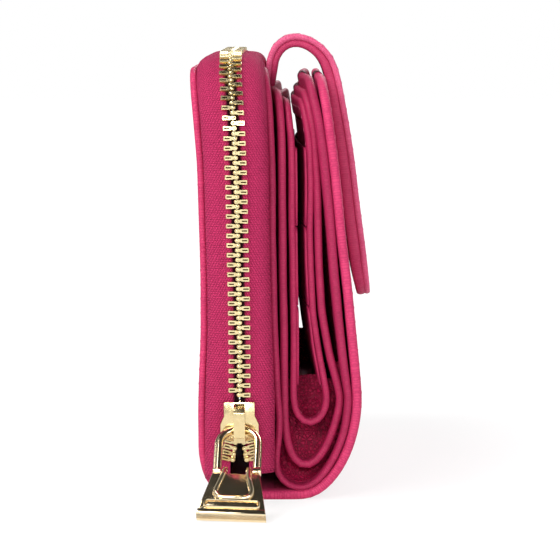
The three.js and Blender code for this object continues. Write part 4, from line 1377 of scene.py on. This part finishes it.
# %% Standing in for the frame's plain solids
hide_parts("left_cover", "left_cover_lining")
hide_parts("right_cover", "spine_cover")
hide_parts("coin_inner_cover", "coin_inner_lining")
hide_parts("inner_shell_fold")
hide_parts("right_inner_cover")
for sheet_name, parts in (("note_divider", note_divider), ("card_panel", card_panel)):
    for part, side in zip(parts, ("left", "fold", "right")):
        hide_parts(f"{sheet_name}_{side}")
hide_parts("zip_tape_left")
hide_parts("zip_tape_right")
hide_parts("zip_teeth_left")
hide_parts("zip_teeth_right")
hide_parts("pull_bail")
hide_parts("pull_tag")
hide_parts("tab_leather", "tab_root")
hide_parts("tab_lining", "tab_stiffener")

# %% [markdown]
# ## Studio
# A plain white floor with a soft shadow, large soft lamps, and a camera at the wallet's near end, a
# little above it. White paper in a real studio is lit until it clips; here the floor is lifted only
# for the camera, so the wallet itself stays at a plain light level.

# %% Floor
NEAR_LIFT = 0.7  # how much of the floor's brightness is lifted beside the wallet
NEAR_METRES = (0.1, 0.4)  # from where to where that grows to all of it


def studio_floor():
    """A sheet of white paper that is lifted for the camera and keeps the wallet's soft shadow."""
    half = 3.0
    corners = [(-half, -half, 0), (half, -half, 0), (half, half, 0), (-half, half, 0)]
    floor = new_object("floor", np.array(corners) / MM, [(0, 1, 2, 3)], [])
    paper = Finish("paper")
    seen = paper.node("ShaderNodeLightPath", output=0)
    glossy = paper.node("ShaderNodeLightPath", output=3)
    through = paper.node("ShaderNodeLightPath", output=6)
    spot = paper.node("ShaderNodeTexCoord", output=3)
    away = paper.node("ShaderNodeVectorMath", {"operation": "LENGTH"}, {0: spot}, 1)
    # near the wallet the paper keeps some of its own shade, so that the shadow shows
    near_share = NEAR_LIFT + away.above(*NEAR_METRES) * (1 - NEAR_LIFT)
    share = (seen + glossy + through).clipped() * near_share
    fibre = paper.noise(paper.place(False), 0.05)
    paper.surface(Base_Color=paper.between(colour("f2f2f2"), colour("fafafa"), fibre), Roughness=0.9)
    glow = paper.tree.nodes.new("ShaderNodeEmission")
    glow.inputs["Strength"].default_value = 1.1
    mixed = paper.tree.nodes.new("ShaderNodeMixShader")
    output = paper.tree.nodes["Material Output"]
    paper.set_socket(mixed.inputs[0], share)
    paper.tree.links.new(paper.shader.outputs[0], mixed.inputs[1])
    paper.tree.links.new(glow.outputs[0], mixed.inputs[2])
    paper.tree.links.new(mixed.outputs[0], output.inputs["Surface"])
    floor.data.materials.append(paper.material)


# %% World
def studio_world():
    """White to the camera; to the wallet, a room that is bright at eye level and darker overhead."""
    world = bpy.data.worlds.new("studio")
    bpy.context.scene.world = world
    world.use_nodes = True
    tree = world.node_tree
    light = tree.nodes["Background"]
    light.inputs["Strength"].default_value = 0.55
    white = tree.nodes.new("ShaderNodeBackground")
    white.inputs["Color"].default_value = (1, 1, 1, 1)
    path = tree.nodes.new("ShaderNodeLightPath")
    mixed = tree.nodes.new("ShaderNodeMixShader")
    direction = tree.nodes.new("ShaderNodeTexCoord")
    split = tree.nodes.new("ShaderNodeSeparateXYZ")
    ramp = tree.nodes.new("ShaderNodeValToRGB")
    tree.links.new(direction.outputs["Generated"], split.inputs[0])
    height = tree.nodes.new("ShaderNodeMapRange")
    height.inputs[1].default_value = -1
    tree.links.new(split.outputs["Z"], height.inputs[0])
    tree.links.new(height.outputs[0], ramp.inputs[0])
    ramp.color_ramp.elements[0].position = 0.0
    ramp.color_ramp.elements[0].color = (0.5, 0.5, 0.5, 1)
    ramp.color_ramp.elements[1].position = 1.0
    ramp.color_ramp.elements[1].color = (0.07, 0.07, 0.07, 1)
    for place, level in ((0.5, 0.95), (0.72, 0.85), (0.84, 0.2)):
        ramp.color_ramp.elements.new(place).color = (level, level, level, 1)
    tree.links.new(ramp.outputs["Color"], light.inputs["Color"])
    tree.links.new(path.outputs["Is Camera Ray"], mixed.inputs[0])
    tree.links.new(light.outputs[0], mixed.inputs[1])
    tree.links.new(white.outputs[0], mixed.inputs[2])
    tree.links.new(mixed.outputs[0], tree.nodes["World Output"].inputs["Surface"])


studio_floor()
studio_world()
print("floor and world made")

# %% Lamps
def softbox(name, place, aim, size, power):
    """A large soft lamp, in metres and watts, turned towards a place."""
    lamp = bpy.data.lights.new(name, "AREA")
    lamp.shape = "RECTANGLE"
    lamp.size, lamp.size_y = size
    lamp.energy = power
    held = bpy.data.objects.new(name, lamp)
    held.location = place
    held.rotation_mode = "QUATERNION"
    held.rotation_quaternion = (Vector(aim) - Vector(place)).to_track_quat("-Z", "Y")
    bpy.context.scene.collection.objects.link(held)


middle = (0, 0, 0.05)
softbox("key", (-0.35, -0.65, 0.42), middle, (0.45, 0.35), 3.5)
softbox("fill", (0.5, -0.7, 0.3), middle, (0.4, 0.4), 1.8)
softbox("front", (0.03, -0.85, 0.25), middle, (0.25, 0.15), 1.7)
softbox("top", (-0.3, -0.12, 0.6), middle, (0.3, 0.3), 2.8)
softbox("back", (0.25, 0.6, 0.5), middle, (0.6, 0.4), 3.0)
print("lamps", len(bpy.data.lights))

# %% Camera
def camera():
    """Level with the near end, looking along the spine."""
    lens = bpy.data.cameras.new("camera")
    lens.sensor_width = 36
    lens.lens = 36 * FOCAL / 560
    held = bpy.data.objects.new("camera", lens)
    near_end = -cover_half
    held.location = Vector((SIGHT_X, near_end - CAMERA_AWAY, CAMERA_HEIGHT)) * MM
    aim = Vector((SIGHT_X, near_end, SIGHT_HEIGHT)) * MM
    held.rotation_mode = "QUATERNION"
    held.rotation_quaternion = (aim - held.location).to_track_quat("-Z", "Y")
    bpy.context.scene.collection.objects.link(held)
    bpy.context.scene.camera = held


FOCAL = 2790
CAMERA_AWAY = 600
CAMERA_HEIGHT = 104
SIGHT_X = 2.2
SIGHT_HEIGHT = 48.05
camera()
print("camera", CAMERA_AWAY, "mm from the near end")
bpy.context.scene.view_settings.view_transform = "Standard"
